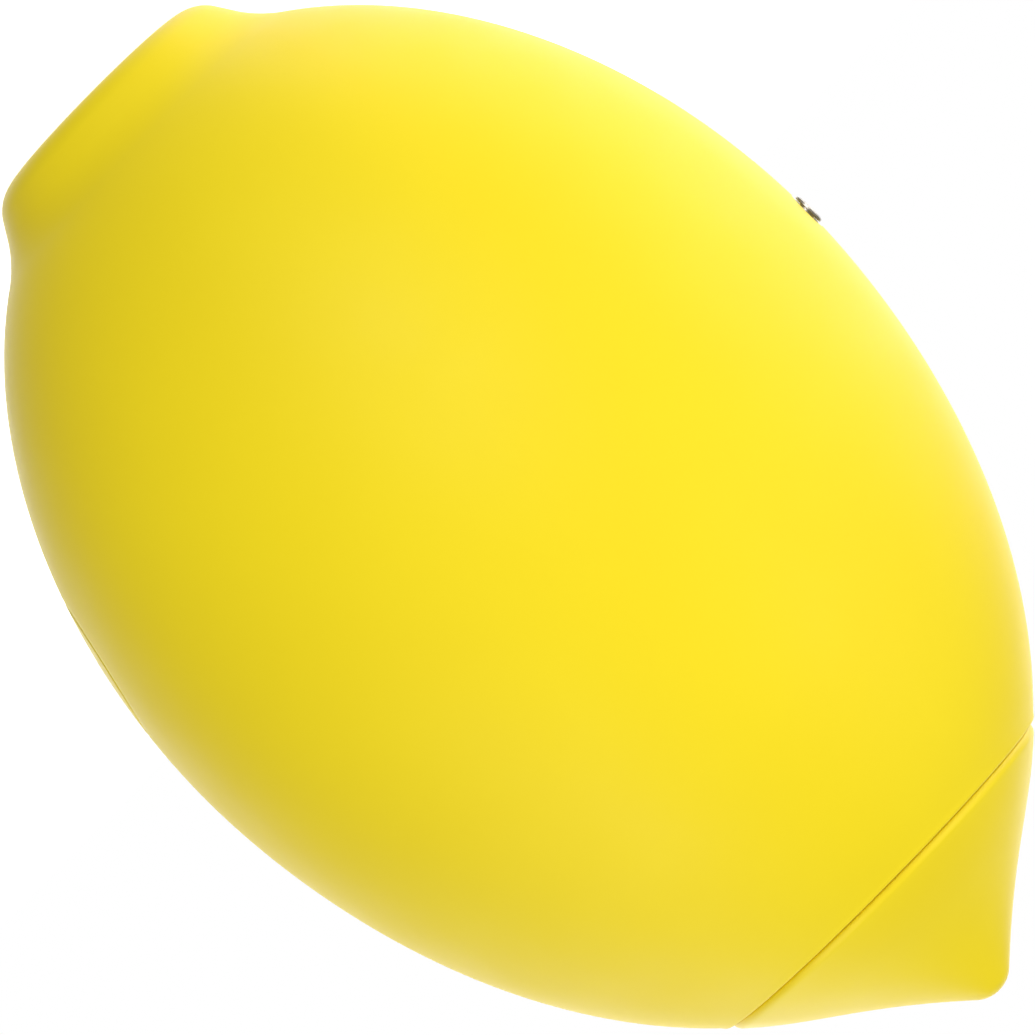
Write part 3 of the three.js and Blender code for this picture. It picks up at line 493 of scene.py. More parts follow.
BOARD = board_green()
LEAD = flat_lead()
BATTERY_FILM = battery_film()
print("finishes:", len(bpy.data.materials))

# %% [markdown]
# ## Spinning a piece
#
# Nearly every piece of the outside is round, so it is a profile spun about an axis. A cylinder
# with loop cuts would need each loop placed by hand, and a subdivided shape would round the
# corners that should stay crisp. A spun profile holds exactly the curve that is drawn: arcs
# where the real piece is round, and straight runs where it is straight.

# %% Helpers for shapes


def along(count, point):
    return [point(i / count) for i in range(count + 1)]


def arc(centre_r, centre_z, radius, start, end, count=8):
    """Points on an arc, in degrees, counted from the outward direction towards the nose."""

    def point(t):
        angle = math.radians(start + (end - start) * t)
        return centre_r + radius * math.cos(angle), centre_z + radius * math.sin(angle)

    return along(count, point)


def bezier(a, b, c, d, count):
    def point(t):
        weights = ((1 - t) ** 3, 3 * t * (1 - t) ** 2, 3 * t * t * (1 - t), t**3)
        return tuple(sum(w * p[i] for w, p in zip(weights, (a, b, c, d))) for i in (0, 1))

    return along(count, point)


def finish_piece(name, bm, material, body, *nodes, slot=None, smooth_below=35):
    """Turns a bmesh into a finished object that rides on a body and stands for CAD nodes."""
    bmesh.ops.remove_doubles(bm, verts=bm.verts, dist=1e-7)
    bmesh.ops.recalc_face_normals(bm, faces=bm.faces)
    for face in bm.faces:
        face.smooth = True
    mesh = bpy.data.meshes.new(name)
    bm.to_mesh(mesh)
    bm.free()
    mesh.set_sharp_from_angle(angle=math.radians(smooth_below))
    mesh.materials.append(material)
    piece = bpy.data.objects.new(name, mesh)
    bpy.context.scene.collection.objects.link(piece)
    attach(piece, body)
    if nodes:
        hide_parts(*nodes)
    print(name, len(mesh.polygons), "faces")
    return piece


def spin_profile(profile, steps, closed=False, axis=(0, 0, 1), centre=(0, 0, 0), side=(1, 0, 0)):
    """A bmesh of a profile of (radius, height) pairs in millimetres, spun once round an axis."""
    bm = bmesh.new()
    axis, centre, side = Vector(axis), Vector(centre), Vector(side)
    verts = [bm.verts.new((centre + side * r + axis * h) * MM) for r, h in profile]
    edges = [bm.edges.new(pair) for pair in zip(verts, verts[1:])]
    if closed:
        edges.append(bm.edges.new((verts[-1], verts[0])))
    bmesh.ops.spin(
        bm, geom=verts + edges, cent=centre * MM, axis=axis, dvec=(0, 0, 0),
        angle=math.tau, space=Matrix.Identity(4), steps=steps,
        use_merge=True, use_normal_flip=False, use_duplicate=False,
    )
    bmesh.ops.remove_doubles(bm, verts=bm.verts, dist=1e-7)
    return bm


# %% [markdown]
# ## The outline of the body
#
# From the flat stem face the outline turns up through a small round, leans out along the stem
# knob, turns the corner into the body and follows a long curve to the mouth. The stem half is a
# true ellipse. The nose half is a little fuller than an ellipse, so it is a cubic curve with
# two handles. Both stretches are also needed as a function of the height, because the button
# and the contact pocket lie in the surface.

# %% Outline of the body
FOOT_R = 9.05
FOOT_ROUND = 3.4
STEM_ROOT_Z = 4.7
ROOT_ROUND = 2.2  # half the length of the soft corner where the knob meets the body
BODY_LOW_Z = 0.6
EDGE_R = MOUTH_R + 0.53
EDGE_Z = MOUTH_Z - 0.42


def lower_radius(z):
    share = (EQUATOR_Z - z) / (EQUATOR_Z - BODY_LOW_Z)
    return BODY_R * math.sqrt(1 - share * share)


UPPER_HANDLES = (
    (BODY_R, EQUATOR_Z),
    (BODY_R, EQUATOR_Z + 11),
    (EDGE_R + 12.24, EDGE_Z - 12),
    (EDGE_R, EDGE_Z),
)
UPPER_LINE = bezier(*UPPER_HANDLES, 600)


def body_radius(z):
    """Radius of the body at a height between the knob and the mouth."""
    if z <= EQUATOR_Z:
        return lower_radius(z)
    for (r0, z0), (r1, z1) in zip(UPPER_LINE, UPPER_LINE[1:]):
        if z0 <= z <= z1:
            return r0 + (r1 - r0) * (z - z0) / (z1 - z0)
    return EDGE_R


def body_outline():
    root_r = lower_radius(STEM_ROOT_Z)
    run, rise = root_r - FOOT_R, STEM_ROOT_Z - FOOT_ROUND
    lean = math.degrees(math.atan2(rise, run) - math.acos(FOOT_ROUND / math.hypot(run, rise)))
    foot = arc(FOOT_R, FOOT_ROUND, FOOT_ROUND, -90, lean, 10)
    below = (
        root_r - ROOT_ROUND * math.sin(math.radians(-lean)),
        STEM_ROOT_Z - ROOT_ROUND * math.cos(math.radians(lean)),
    )
    above_z = STEM_ROOT_Z + ROOT_ROUND * 0.6
    above = (lower_radius(above_z), above_z)
    root = along(10, lambda t: tuple(
        (1 - t) ** 2 * below[i] + 2 * t * (1 - t) * (root_r, STEM_ROOT_Z)[i] + t * t * above[i]
        for i in (0, 1)
    ))
    lowest = math.acos((EQUATOR_Z - above_z) / (EQUATOR_Z - BODY_LOW_Z))

    def ellipse(t):
        angle = lowest + (math.pi / 2 - lowest) * t
        height = EQUATOR_Z - (EQUATOR_Z - BODY_LOW_Z) * math.cos(angle)
        return BODY_R * math.sin(angle), height

    lower = along(44, ellipse)
    upper = bezier(*UPPER_HANDLES, 40)
    edge = bezier(
        (EDGE_R, EDGE_Z), (EDGE_R - 0.18, EDGE_Z + 0.2),
        (MOUTH_R + 0.28, MOUTH_Z), (MOUTH_R, MOUTH_Z), 5,
    )
    lip = [(MOUTH_R - 0.8, MOUTH_Z), (MOUTH_R - 1.65, MOUTH_Z)]
    floor = [(0, 0), (3, 0), (6, 0)]
    return floor + foot + root[1:] + lower[1:] + upper[1:] + edge[1:] + lip


OUTLINE = body_outline()
print("outline points:", len(OUTLINE))

# %% [markdown]
# ## Openings in the skin
#
# The button and the contact pocket need clean holes in a curved wall. A boolean would cut them,
# but it leaves long thin faces that catch the light. Here a patch of the spun grid is taken
# out, the rim of the gap is extruded inwards a few times, and each new ring is moved a step
# nearer to the wanted outline and back onto the curved surface. All faces stay four-sided.

# %% Holes in the skin
STEPS = 224
RIM_ROUND = 0.12


def surface_y(x, z, side):
    """The y of the body's surface on one side, above a point of the X-Z plane."""
    return side * math.sqrt(body_radius(z) ** 2 - x * x)


def slot_point(angle, half_length, half_height):
    """Where a ray from the centre meets a round-ended slot. Equal halves give a circle."""
    dx, dz = math.cos(angle), math.sin(angle)
    straight = half_length - half_height
    if abs(dz) > 1e-9 and abs(dx) * half_height / abs(dz) <= straight:
        reach = half_height / abs(dz)
    else:
        middle = straight * (1 if dx >= 0 else -1)
        along_ray = middle * dx
        reach = along_ray + math.sqrt(along_ray**2 - middle**2 + half_height**2)
    return reach * dx, reach * dz


def open_hole(bm, side, centre_z, half_length, half_height, margin=1.6, rings=3):
    """Opens a slot in the front (side -1) or back (side +1) wall, and returns its rim."""
    wide = (half_length + margin) / body_radius(centre_z)
    tall = half_height + margin
    doomed = []
    for face in bm.faces:
        spot = face.calc_center_median() / MM
        angle = math.atan2(spot.x, spot.y * side)
        if abs(angle) < wide and abs(spot.z - centre_z) < tall and spot.y * side > 0:
            doomed.append(face)
    rim_verts = {v for face in doomed for v in face.verts}
    bmesh.ops.delete(bm, geom=doomed, context="FACES")
    rim = [
        e for e in bm.edges
        if e.is_boundary and all(v in rim_verts for v in e.verts if v.is_valid)
    ]
    for ring in range(1, rings + 1):
        made = bmesh.ops.extrude_edge_only(bm, edges=rim)["geom"]
        rim = [g for g in made if isinstance(g, bmesh.types.BMEdge) and g.is_boundary]
        verts = {v for e in rim for v in e.verts}
        for v in verts:
            x, z = v.co.x / MM, v.co.z / MM - centre_z
            target = slot_point(math.atan2(z, x), half_length, half_height)
            step = 1 / (rings + 1 - ring)
            x += (target[0] - x) * step
            z += (target[1] - z) * step + centre_z
            v.co = Vector((x, surface_y(x, z, side), z)) * MM
    print("hole rim:", len(rim), "edges")
    return rim



# %% [markdown]
# ## Places of the openings
#
# The button sits over the switch, and the pocket sits round the two contacts. Their places are
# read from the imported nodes, and the small gaps are set here, because a part line is only
# as wide as the mould maker leaves it.

# %% Places of the button and the contacts
button_low, button_high = node_box("button_cap")
switch_low, switch_high = node_box("tact_switch")
BUTTON_Z = (switch_low.z + switch_high.z) / 2
BUTTON_R = 6.2
BUTTON_GAP = 0.42
contact_low, contact_high = node_box("charging_contact_right")
CONTACT_X = (contact_low.x + contact_high.x) / 2
CONTACT_Z = (contact_low.z + contact_high.z) / 2
CONTACT_R = (contact_high.x - contact_low.x) / 2
POCKET_HALF_H = 1.6
POCKET_HALF_L = CONTACT_X + POCKET_HALF_H
print("button at", round(BUTTON_Z, 2), "contacts at", round(CONTACT_X, 2), round(CONTACT_Z, 2))

# %% [markdown]
# ## The outer skin
#
# The skin is one seamless moulding, 1.6 mm thick, stretched over the shells. Its wall could be
# drawn in the profile, inside and outside, but the holes would then have to be cut twice. So
# only the outside is spun, the holes are opened in it, and a Solidify modifier gives the wall,
# with every rim closed.

# %% Outer skin


def outer_skin():
    bm = spin_profile(OUTLINE, STEPS)
    open_hole(bm, -1, BUTTON_Z, BUTTON_R + BUTTON_GAP, BUTTON_R + BUTTON_GAP)
    open_hole(bm, 1, CONTACT_Z, POCKET_HALF_L + 0.06, POCKET_HALF_H + 0.06)
    skin = finish_piece("body_skin", bm, SKIN, "body", "outer_skin", slot="yellow_skin")
    wall = skin.modifiers.new("wall", "SOLIDIFY")
    wall.thickness = SKIN_T * MM
    wall.offset = -1
    wall.use_even_offset = True
    rim = skin.modifiers.new("rim", "BEVEL")
    rim.width = RIM_ROUND * MM
    rim.segments = 2
    rim.limit_method = "ANGLE"
    rim.angle_limit = math.radians(50)


outer_skin()

# %% [markdown]
# ## The nose cap
#
# The cap is a thin hollow cone with a slight S in its side, as on a real lemon: full near the
# seam, drawn in towards the tip, and closed by a small round. Its base carries a soft shoulder
# that gives the light line beside the seam. It is a closed wall, so the profile runs up the
# outside and down the inside.

# %% Nose cap
TIP_R = 2.7
SIDE_SLOPE = 1.08  # radius lost for each millimetre of height, at both ends of the side
SEAM_GAP = 0.045
SHOULDER_R = 0.9
BASE_ROUND = 0.14
SHOULDER_END = 43  # degrees, where the shoulder runs into the side
TIP_WALL = 1.2
collar_low, collar_high = node_box("cap_collar")


def nose_cap():
    base_z = MOUTH_Z + SEAM_GAP
    shoulder = arc(CAP_R - SHOULDER_R, base_z + BASE_ROUND, SHOULDER_R, 0, SHOULDER_END, 8)
    low_edge = arc(CAP_R - BASE_ROUND, base_z + BASE_ROUND, BASE_ROUND, -80, -10, 4)
    lean = math.degrees(math.atan(SIDE_SLOPE))
    tip = arc(0, TIP_Z - TIP_R, TIP_R, lean, 90, 14)
    (shoulder_r, shoulder_z), (side_r, side_z) = shoulder[-1], tip[0]
    side = bezier(
        (shoulder_r, shoulder_z), (shoulder_r - 4 * SIDE_SLOPE, shoulder_z + 4),
        (side_r + 6.5 * SIDE_SLOPE, side_z - 6.5), (side_r, side_z), 40,
    )
    inner_top_z = TIP_Z - TIP_R - TIP_WALL
    cavity_r = collar_high.x + 0.1
    inner = bezier(
        (0, inner_top_z), (1.6, inner_top_z - 0.2),
        (cavity_r - 5.2, SEAM_Z + 6.2), (cavity_r, SEAM_Z + 1.3), 20,
    )
    base = [(cavity_r, base_z), (CAP_R - BASE_ROUND, base_z)]
    outside = shoulder + side[1:] + tip[1:-1] + [(0, TIP_Z)]
    bm = spin_profile(outside + inner + base + low_edge, STEPS, closed=True)
    return finish_piece("nose_cap_shell", bm, YELLOW, "cap", "nose_cap", slot="yellow_plastic")


nose_cap()

# %% [markdown]
# ## The button
#
# The button is a round disc whose face follows the body, so that nothing but a hairline shows.
# A flat disc bent with a modifier would only come near. Here a profile of (radius, depth) is
# spun about the button's own axis, and then each vertex is set to that depth below the body's
# surface.

# %% Button


def below_surface(bm, side, flat_from=None, flat_y=None):
    """Turns each vertex's y, a depth, into a place that deep under the body's surface."""
    for v in bm.verts:
        x, depth, z = v.co / MM
        y = surface_y(x, z, side) - side * depth
        if flat_from is not None and depth >= flat_from:
            y = flat_y
        v.co.y = y * MM


def button():
    flange_r = (button_high.x - button_low.x) / 2
    stem_depth = button_high.y + body_radius(BUTTON_Z)
    face = along(10, lambda t: ((BUTTON_R - 0.3) * t, 0.0))
    edge = [(BUTTON_R - 0.14, 0.02), (BUTTON_R - 0.04, 0.09), (BUTTON_R, 0.22), (BUTTON_R, 1.95)]
    flange = [(flange_r - 0.1, 1.95), (flange_r, 2.05), (flange_r, 2.75), (flange_r - 0.1, 2.85)]
    stem = [(2.3, 2.85), (2.0, 3.1), (2.0, stem_depth - 0.3), (1.7, stem_depth), (0, stem_depth)]
    bm = spin_profile(
        face + edge + flange + stem, 96, axis=(0, 1, 0), centre=(0, 0, BUTTON_Z),
    )
    below_surface(bm, -1)
    return finish_piece("push_button", bm, YELLOW, "button", "button_cap", slot="yellow_plastic")


button()

# %% [markdown]
# ## The charging contacts
#
# Two round pads take current from a magnetic plug. They stand a little proud of a small
# pocket with round ends, whose floor is a block held in the shell. The block's face follows
# the body at an even depth, like the button's, so it is made the same way: a round profile is
# spun, and each ring is then pulled into a slot with round ends.

# %% Contact block and contacts
block_low, block_high = node_box("contact_block")
POCKET_DEPTH = 0.13


def contact_block():
    flange_l = block_high.x
    flange_h = (block_high.z - block_low.z) / 2
    back = body_radius(CONTACT_Z) - block_low.y
    rings = [(t, POCKET_DEPTH, 0) for t in (0, 0.2, 0.4, 0.6, 0.8, 0.93)]
    rings += [(0.985, POCKET_DEPTH + 0.04, 0), (1, POCKET_DEPTH + 0.12, 0), (1, 1.9, 0)]
    rings += [(0.98, 1.9, 1), (1, 2.0, 1), (1, back - 0.3, 1), (0.98, back, 1), (0, back, 1)]
    # The spin keeps each ring's number in its radius until the rings are given their outline.
    profile = [(i * 0.1, i) for i in range(len(rings))]
    profile[-1] = (0, len(rings) - 1)
    bm = spin_profile(profile, 96, axis=(0, 1, 0), centre=(0, 0, CONTACT_Z))
    for v in bm.verts:
        share, depth, flange = rings[round(v.co.y / MM)]
        x, z = v.co.x / MM, v.co.z / MM - CONTACT_Z
        halves = (flange_l, flange_h) if flange else (POCKET_HALF_L - 0.05, POCKET_HALF_H - 0.05)
        if share > 0:
            x, z = slot_point(math.atan2(z, x), *halves)
        v.co = Vector((x * share, depth, z * share + CONTACT_Z)) * MM
    below_surface(bm, 1, flat_from=back - 0.4, flat_y=block_low.y)
    return finish_piece(
        "contact_pocket_block", bm, YELLOW, "body", "contact_block", slot="yellow_plastic",
    )


def contact(side):
    name = "left" if side < 0 else "right"
    low, high = node_box(f"charging_contact_{name}")
    top, bottom = high.y, low.y
    dome = [(0, top), (0.6, top - 0.01), (0.95, top - 0.03), (CONTACT_R - 0.12, top - 0.07)]
    head = [(CONTACT_R, top - 0.17), (CONTACT_R, top - 0.33), (0.8, top - 0.33)]
    pin = [(0.8, bottom + 0.15), (0.65, bottom), (0, bottom)]
    bm = spin_profile(
        dome + head + pin, 64, axis=(0, 1, 0), centre=(side * CONTACT_X, 0, CONTACT_Z),
    )
    return finish_piece(
        f"contact_pad_{name}", bm, CONTACT_METAL, "body", f"charging_contact_{name}",
        slot="bright_contact",
    )


contact_block()
for side in (-1, 1):
    contact(side)

# %% [markdown]
# ## Turned pieces with soft corners
#
# The pieces inside the mouth are all round: rings, seals, a plug and a cover. A moulded corner
# is never perfectly sharp, and the small round is what catches the light. A Bevel modifier
# would round every corner alike, so each corner of a profile may carry its own radius instead,
# and the profile is spun with its rounds already in it.

# %% Helper for turned pieces


def rounded(corners, count=4):
    """A closed outline of (r, z) corners, where a third number is the radius of a round."""
    points = []
    total = len(corners)
    for i, corner in enumerate(corners):
        here = Vector(corner[:2])
        if len(corner) < 3:
            points.append(tuple(here))
            continue
        radius = corner[2]
        before = (Vector(corners[i - 1][:2]) - here).normalized()
        after = (Vector(corners[(i + 1) % total][:2]) - here).normalized()
        half = before.angle(after) / 2
        centre = here + (before + after).normalized() * (radius / math.sin(half))
        start = here + before * (radius / math.tan(half)) - centre
        end = here + after * (radius / math.tan(half)) - centre
        points += [tuple(centre + start.slerp(end, k / count)) for k in range(count + 1)]
    return points


def turned(name, corners, material, body, node, slot, steps=96, **spin):
    """A turned piece from its corners. One that touches its axis starts and ends there."""
    on_axis = corners[0][0] == 0 and corners[-1][0] == 0
    bm = spin_profile(rounded(corners), steps, closed=not on_axis, **spin)
    return finish_piece(name, bm, material, body, node, slot=slot)


def round_ring(name, node, material, body, slot):
    """A seal with a round section, from the box of its node."""
    low, high = node_box(node)
    radius = (high.z - low.z) / 2
    section = arc(high.x - radius, (low.z + high.z) / 2, radius, 0, 345, 23)
    bm = spin_profile(section, 96, closed=True)
    return finish_piece(name, bm, material, body, node, slot=slot)


# %% [markdown]
# ## The mist head
#
# Under the nose cap sits the head that makes the mist. A steel plate with very fine holes is
# glued to a ceramic ring. When the ring is driven it shakes the plate, and water from the wick
# leaves as mist. The plate and ring are held between two soft gaskets, in a recess of a white
# plug, under a cover with a funnel. The plug has gold rings below its flange, which bring the
# current from two spring pins in the neck.

# %% Measures of the mist head
cover_low, cover_high = node_box("head_cover")
plug_low, plug_high = node_box("head_body")
mesh_low, mesh_high = node_box("mesh_plate")
piezo_low, piezo_high = node_box("piezo_ring")
tube_low, tube_high = node_box("wick_tube")
wick_low, wick_high = node_box("wick")
outer_ring_low, outer_ring_high = node_box("contact_ring_outer")
inner_ring_low, inner_ring_high = node_box("contact_ring_inner")
seal_low, seal_high = node_box("head_seal")
RECESS_R = mesh_high.x + 0.4
HEAD_BORE_R = 3.4
ring_groove = (inner_ring_high.x - 0.85, outer_ring_high.x + 0.1)
print("recess", round(RECESS_R, 2), "ring groove", [round(r, 2) for r in ring_groove])

# %% [markdown]
# ## Cover
#
# The cover is what fingers turn and pull, so its side has eight shallow grooves, and its mouth
# is a funnel that lets the mist spread. Cutting the grooves with eight tools would break the
# shoulder's round. Pressing the spun side inwards along eight lines keeps it whole.

# %% Cover with its funnel and finger grooves
GROOVES = 8
GROOVE_HALF_W = 0.62
GROOVE_DEPTH = 0.42


def head_cover():
    low, top, r = cover_low.z, cover_high.z, cover_high.x
    groove_low, groove_top = low + 1.4, top - 2.2
    wall = along(10, lambda t: (r, groove_low - 0.3 + (groove_top - groove_low + 0.6) * t))
    shoulder = arc(r - 3.2, top - 3.2, 3.2, 14, 90, 10)
    funnel = bezier((5.9, top), (5.0, top - 0.15), (4.3, low + 3.3), (3.4, low + 2.2), 12)
    inside = [(3.4, low + 1.2), (mesh_high.x - 2, low + 0.65), (RECESS_R, low + 0.65)]
    base = [(RECESS_R, low), (r - 0.25, low), (r - 0.07, low + 0.07), (r, low + 0.25)]
    bm = spin_profile(wall + shoulder + funnel + inside + base, 192, closed=True)
    for v in bm.verts:
        x, y, z = v.co / MM
        if math.hypot(x, y) < r - 0.05 or not groove_low < z < groove_top:
            continue
        pitch = math.tau / GROOVES
        off = abs((math.atan2(y, x) + pitch / 2) % pitch - pitch / 2) * r
        end = min(z - groove_low, groove_top - z)
        share = max(0.0, 1 - (off / GROOVE_HALF_W) ** 2) * min(1.0, end / 0.5)
        v.co.xy *= 1 - GROOVE_DEPTH * share / r
    return finish_piece(
        "mist_cover", bm, WHITE_PLASTIC, "mist_head", "head_cover", slot="white_plastic",
    )


head_cover()

# %% [markdown]
# ## Plug
#
# The plug carries everything else in the head. It has a groove for its seal, a flange that
# rests on the neck, a ring-shaped slot under the flange for the gold rings, a recess on top and
# a bore for the wick. All of that is round, so one closed outline makes it in a single spin.

# %% Plug
def head_plug():
    low, top = plug_low.z, plug_high.z
    plug_r = seal_high.x - 0.2
    groove_r = plug_r - 1.2
    seal_z = (seal_low.z + seal_high.z) / 2
    under = outer_ring_low.z - 0.1
    ring_roof = outer_ring_high.z + 0.05
    inner, outer = ring_groove
    recess_z = mesh_low.z - 0.6
    bore_r = wick_high.x + 0.6
    step_z = tube_high.z + 0.2
    socket_r = tube_high.x + 0.3
    turned("mist_plug", [
        (socket_r, low, 0.15), (plug_r, low, 0.4),
        (plug_r, seal_z - 0.7, 0.1), (groove_r, seal_z - 0.7, 0.15),
        (groove_r, seal_z + 0.7, 0.15), (plug_r, seal_z + 0.7, 0.1),
        (plug_r, under, 0.2), (inner, under), (inner, ring_roof),
        (outer, ring_roof), (outer, under), (plug_high.x, under, 0.15),
        (plug_high.x, top, 0.25), (RECESS_R, top, 0.15), (RECESS_R, recess_z, 0.1),
        (bore_r, recess_z, 0.15), (bore_r, step_z), (socket_r, step_z),
    ], WHITE_PLASTIC, "mist_head", "head_body", "white_plastic", steps=128)


head_plug()

# %% [markdown]
# ## What the plug carries
#
# The plate has a small dome pressed into it, which spreads the mist into a cone. The other
# pieces are plain rings with soft edges, and the seal is a ring with a round section.

# %% Plate, ceramic ring, gaskets, gold rings and seal
def mesh_plate():
    low, high, r = mesh_low.z, mesh_high.z, mesh_high.x
    dome = along(8, lambda t: (2.6 * t, high + 0.16 * (1 - t * t) ** 2))
    hollow = [(x, z - (high - low)) for x, z in reversed(dome)]
    bm = spin_profile(dome + [(r, high), (r, low)] + hollow, 96)
    return finish_piece("mesh_disc", bm, MESH_STEEL, "mist_head", "mesh_plate", slot="steel")


def flat_ring(name, node, inner_r, material, slot, edge=0.1, body="mist_head"):
    low, high = node_box(node)
    return turned(name, [
        (inner_r, low.z, edge), (high.x, low.z, edge), (high.x, high.z, edge),
        (inner_r, high.z, edge),
    ], material, body, node, slot)


mesh_plate()
flat_ring("ceramic_ring", "piezo_ring", HEAD_BORE_R, CERAMIC, "ceramic", edge=0.04)
flat_ring("gasket_below", "lower_gasket", mesh_high.x - 2.5, SEAL, "seal", edge=0.15)
flat_ring("gasket_above", "upper_gasket", mesh_high.x - 2, SEAL, "seal", edge=0.15)
flat_ring("gold_ring_inner", "contact_ring_inner", inner_ring_high.x - 0.7, GOLD, "gold_contact", 0.06)
flat_ring("gold_ring_outer", "contact_ring_outer", outer_ring_high.x - 0.7, GOLD, "gold_contact", 0.06)
round_ring("plug_seal", "head_seal", SEAL, "mist_head", "seal")

# %% [markdown]
# ## The wick
#
# A cotton rod brings the water up. It stands in a tube with four windows, and a small spring
# under it keeps its top close to the plate. The tube is spun as a single skin with the windows
# left out, and Solidify gives it its wall. The spring is a wire, so a small circle is spun
# round the axis while it climbs.

# %% Wick tube, wick and spring
TUBE_WALL = 1.5
WINDOW_Z = (5.5, 13.5)  # above the tube's floor
TUBE_STEPS = 64


def wick_tube():
    low, high, r = tube_low.z, tube_high.z, tube_high.x
    bottom = [(0, low), (1.6, low), (3.0, low)] + arc(r - 0.5, low + 0.5, 0.5, -90, 0, 5)
    wall = [(r, low + 3), (r, low + WINDOW_Z[0]), (r, low + 7), (r, low + 9.5), (r, low + 12)]
    wall += [(r, low + WINDOW_Z[1]), (r, low + 17), (r, high)]
    bm = spin_profile(bottom + wall, TUBE_STEPS)
    doomed = []
    for face in bm.faces:
        spot = face.calc_center_median() / MM
        off = (math.atan2(spot.y, spot.x) + math.pi / 4) % (math.pi / 2) - math.pi / 4
        level = spot.z - low
        if abs(off) * TUBE_STEPS / math.tau < 2 and WINDOW_Z[0] < level < WINDOW_Z[1]:
            doomed.append(face)
    bmesh.ops.delete(bm, geom=doomed, context="FACES")
    tube = finish_piece(
        "wick_holder", bm, WHITE_PLASTIC, "mist_head", "wick_tube", slot="white_plastic",
    )
    wall = tube.modifiers.new("wall", "SOLIDIFY")
    wall.thickness = TUBE_WALL * MM
    wall.offset = -1
    edges = tube.modifiers.new("edges", "BEVEL")
    edges.width = 0.12 * MM
    edges.segments = 2
    edges.limit_method = "ANGLE"
    edges.angle_limit = math.radians(50)


def wick_rod():
    low, high, r = wick_low.z, wick_high.z, wick_high.x
    side = along(24, lambda t: (r - 0.04 - 0.04 * math.sin(40 * t), low + 0.5 + (high - low - 0.9) * t))
    profile = [(0, low), (r - 0.5, low), (r - 0.12, low + 0.15)] + side
    profile += [(r - 0.15, high - 0.1), (r - 0.6, high), (0, high)]
    bm = spin_profile(profile, 64)
    return finish_piece("cotton_wick", bm, COTTON, "mist_head", "wick", slot="cotton")


def wick_spring():
    low, high = node_box("wick_spring")
    wire_r = 0.28
    coil_r = high.x - wire_r
    turns = 3
    steps = turns * 32
    bm = bmesh.new()
    bmesh.ops.create_circle(
        bm, cap_ends=True, segments=12, radius=wire_r * MM,
        matrix=Matrix.Translation(Vector((coil_r, 0, low.z + wire_r)) * MM)
        @ Matrix.Rotation(math.pi / 2, 4, "X"),
    )
    climb = Vector((0, 0, (high.z - low.z - 2 * wire_r) * MM / steps))
    bmesh.ops.spin(
        bm, geom=bm.verts[:] + bm.edges[:] + bm.faces[:], cent=(0, 0, 0), axis=(0, 0, 1),
        dvec=climb, angle=turns * math.tau, space=Matrix.Identity(4), steps=steps,
        use_merge=False, use_normal_flip=False, use_duplicate=False,
    )
    return finish_piece("spring_under_wick", bm, STEEL, "mist_head", "wick_spring", slot="steel")


wick_tube()
wick_rod()
wick_spring()

# %% [markdown]
# ## Neck, collar and tank
#
# The neck ring closes the body under the skin's edge. Its ledge carries the head, and its bore
# takes the white collar of the nose cap, which holds by a soft seal. The clear tank hangs
# below, and follows the inside of the shells to hold as much water as it can.

# %% Neck ring and collar
neck_low, neck_high = node_box("neck_ring")
tank_low, tank_high = node_box("water_tank")
NECK_WALL = 2.2
COLLAR_WALL = 1.7
LEDGE_R = plug_high.x - 2.7


def inset_radius(z, depth):
    """Radius of the surface a depth under the body's outline, at a height."""
    tilt = (body_radius(z + 0.5) - body_radius(z - 0.5)) / 1.0
    return body_radius(z) - depth * math.sqrt(1 + tilt * tilt)


def neck_ring():
    bore_r = plug_high.x + 0.3
    lip_r = bore_r + NECK_WALL
    ledge_z = outer_ring_low.z - 0.2
    flange_top = neck_high.z - 3.4
    flange_low = flange_top - 1.5
    low_r = neck_high.x - 0.05
    top_r = inset_radius(flange_top, 1.8) - 0.12
    spigot_r = inset_radius(flange_low, 3.6) - 0.35
    turned("neck", [
        (LEDGE_R, neck_low.z, 0.2), (spigot_r, neck_low.z, 0.3), (spigot_r, flange_low, 0.2),
        (low_r, flange_low, 0.15), (top_r, flange_top, 0.2), (lip_r, flange_top, 0.3),
        (lip_r, neck_high.z, 0.2), (bore_r, neck_high.z, 0.35), (bore_r, ledge_z, 0.15),
        (LEDGE_R, ledge_z, 0.2),
    ], IVORY, "body", "neck_ring", "ivory_plastic", steps=128)


def cap_collar():
    low, high = collar_low.z, collar_high.z
    inner_r, r = collar_high.x - COLLAR_WALL, collar_high.x
    seal = node_box("cap_seal")
    seal_z = (seal[0].z + seal[1].z) / 2
    turned("cap_plug_collar", [
        (inner_r, low, 0.3), (r, low, 0.4), (r, seal_z - 0.75, 0.1), (r - 1, seal_z - 0.75, 0.15),
        (r - 1, seal_z + 0.75, 0.15), (r, seal_z + 0.75, 0.1), (r, high, 0.1), (inner_r, high, 0.2),
    ], WHITE_PLASTIC, "cap", "cap_collar", "white_plastic", steps=128)


neck_ring()
cap_collar()
round_ring("collar_seal", "cap_seal", SEAL, "cap", "seal")

# %% [markdown]
# ## Spring pins and tank
#
# Each pin is a barrel with a plunger, turned from brass and plated with gold. The tank is one
# clear wall, so its outline runs up the outside, round the neck and back down the inside, at
# the same depth under the body's surface as the shells leave for it.

# %% Spring pins and tank
def spring_pin(name):
    low, high = node_box(name)
    middle = (low + high) / 2
    r = (high.x - low.x) / 2
    barrel_top = high.z - 0.8
    turned(f"{name}_turned", [
        (0, low.z), (r, low.z, 0.1), (r, barrel_top, 0.12), (r * 0.68, barrel_top, 0.03),
        (r * 0.68, high.z, 0.2), (0, high.z),
    ], GOLD, "body", name, "gold_contact", steps=32, centre=(middle.x, middle.y, 0))


TANK_WALL = 1.5
TANK_DEPTH = 5.2  # under the body's surface: skin, shell and the gap behind it


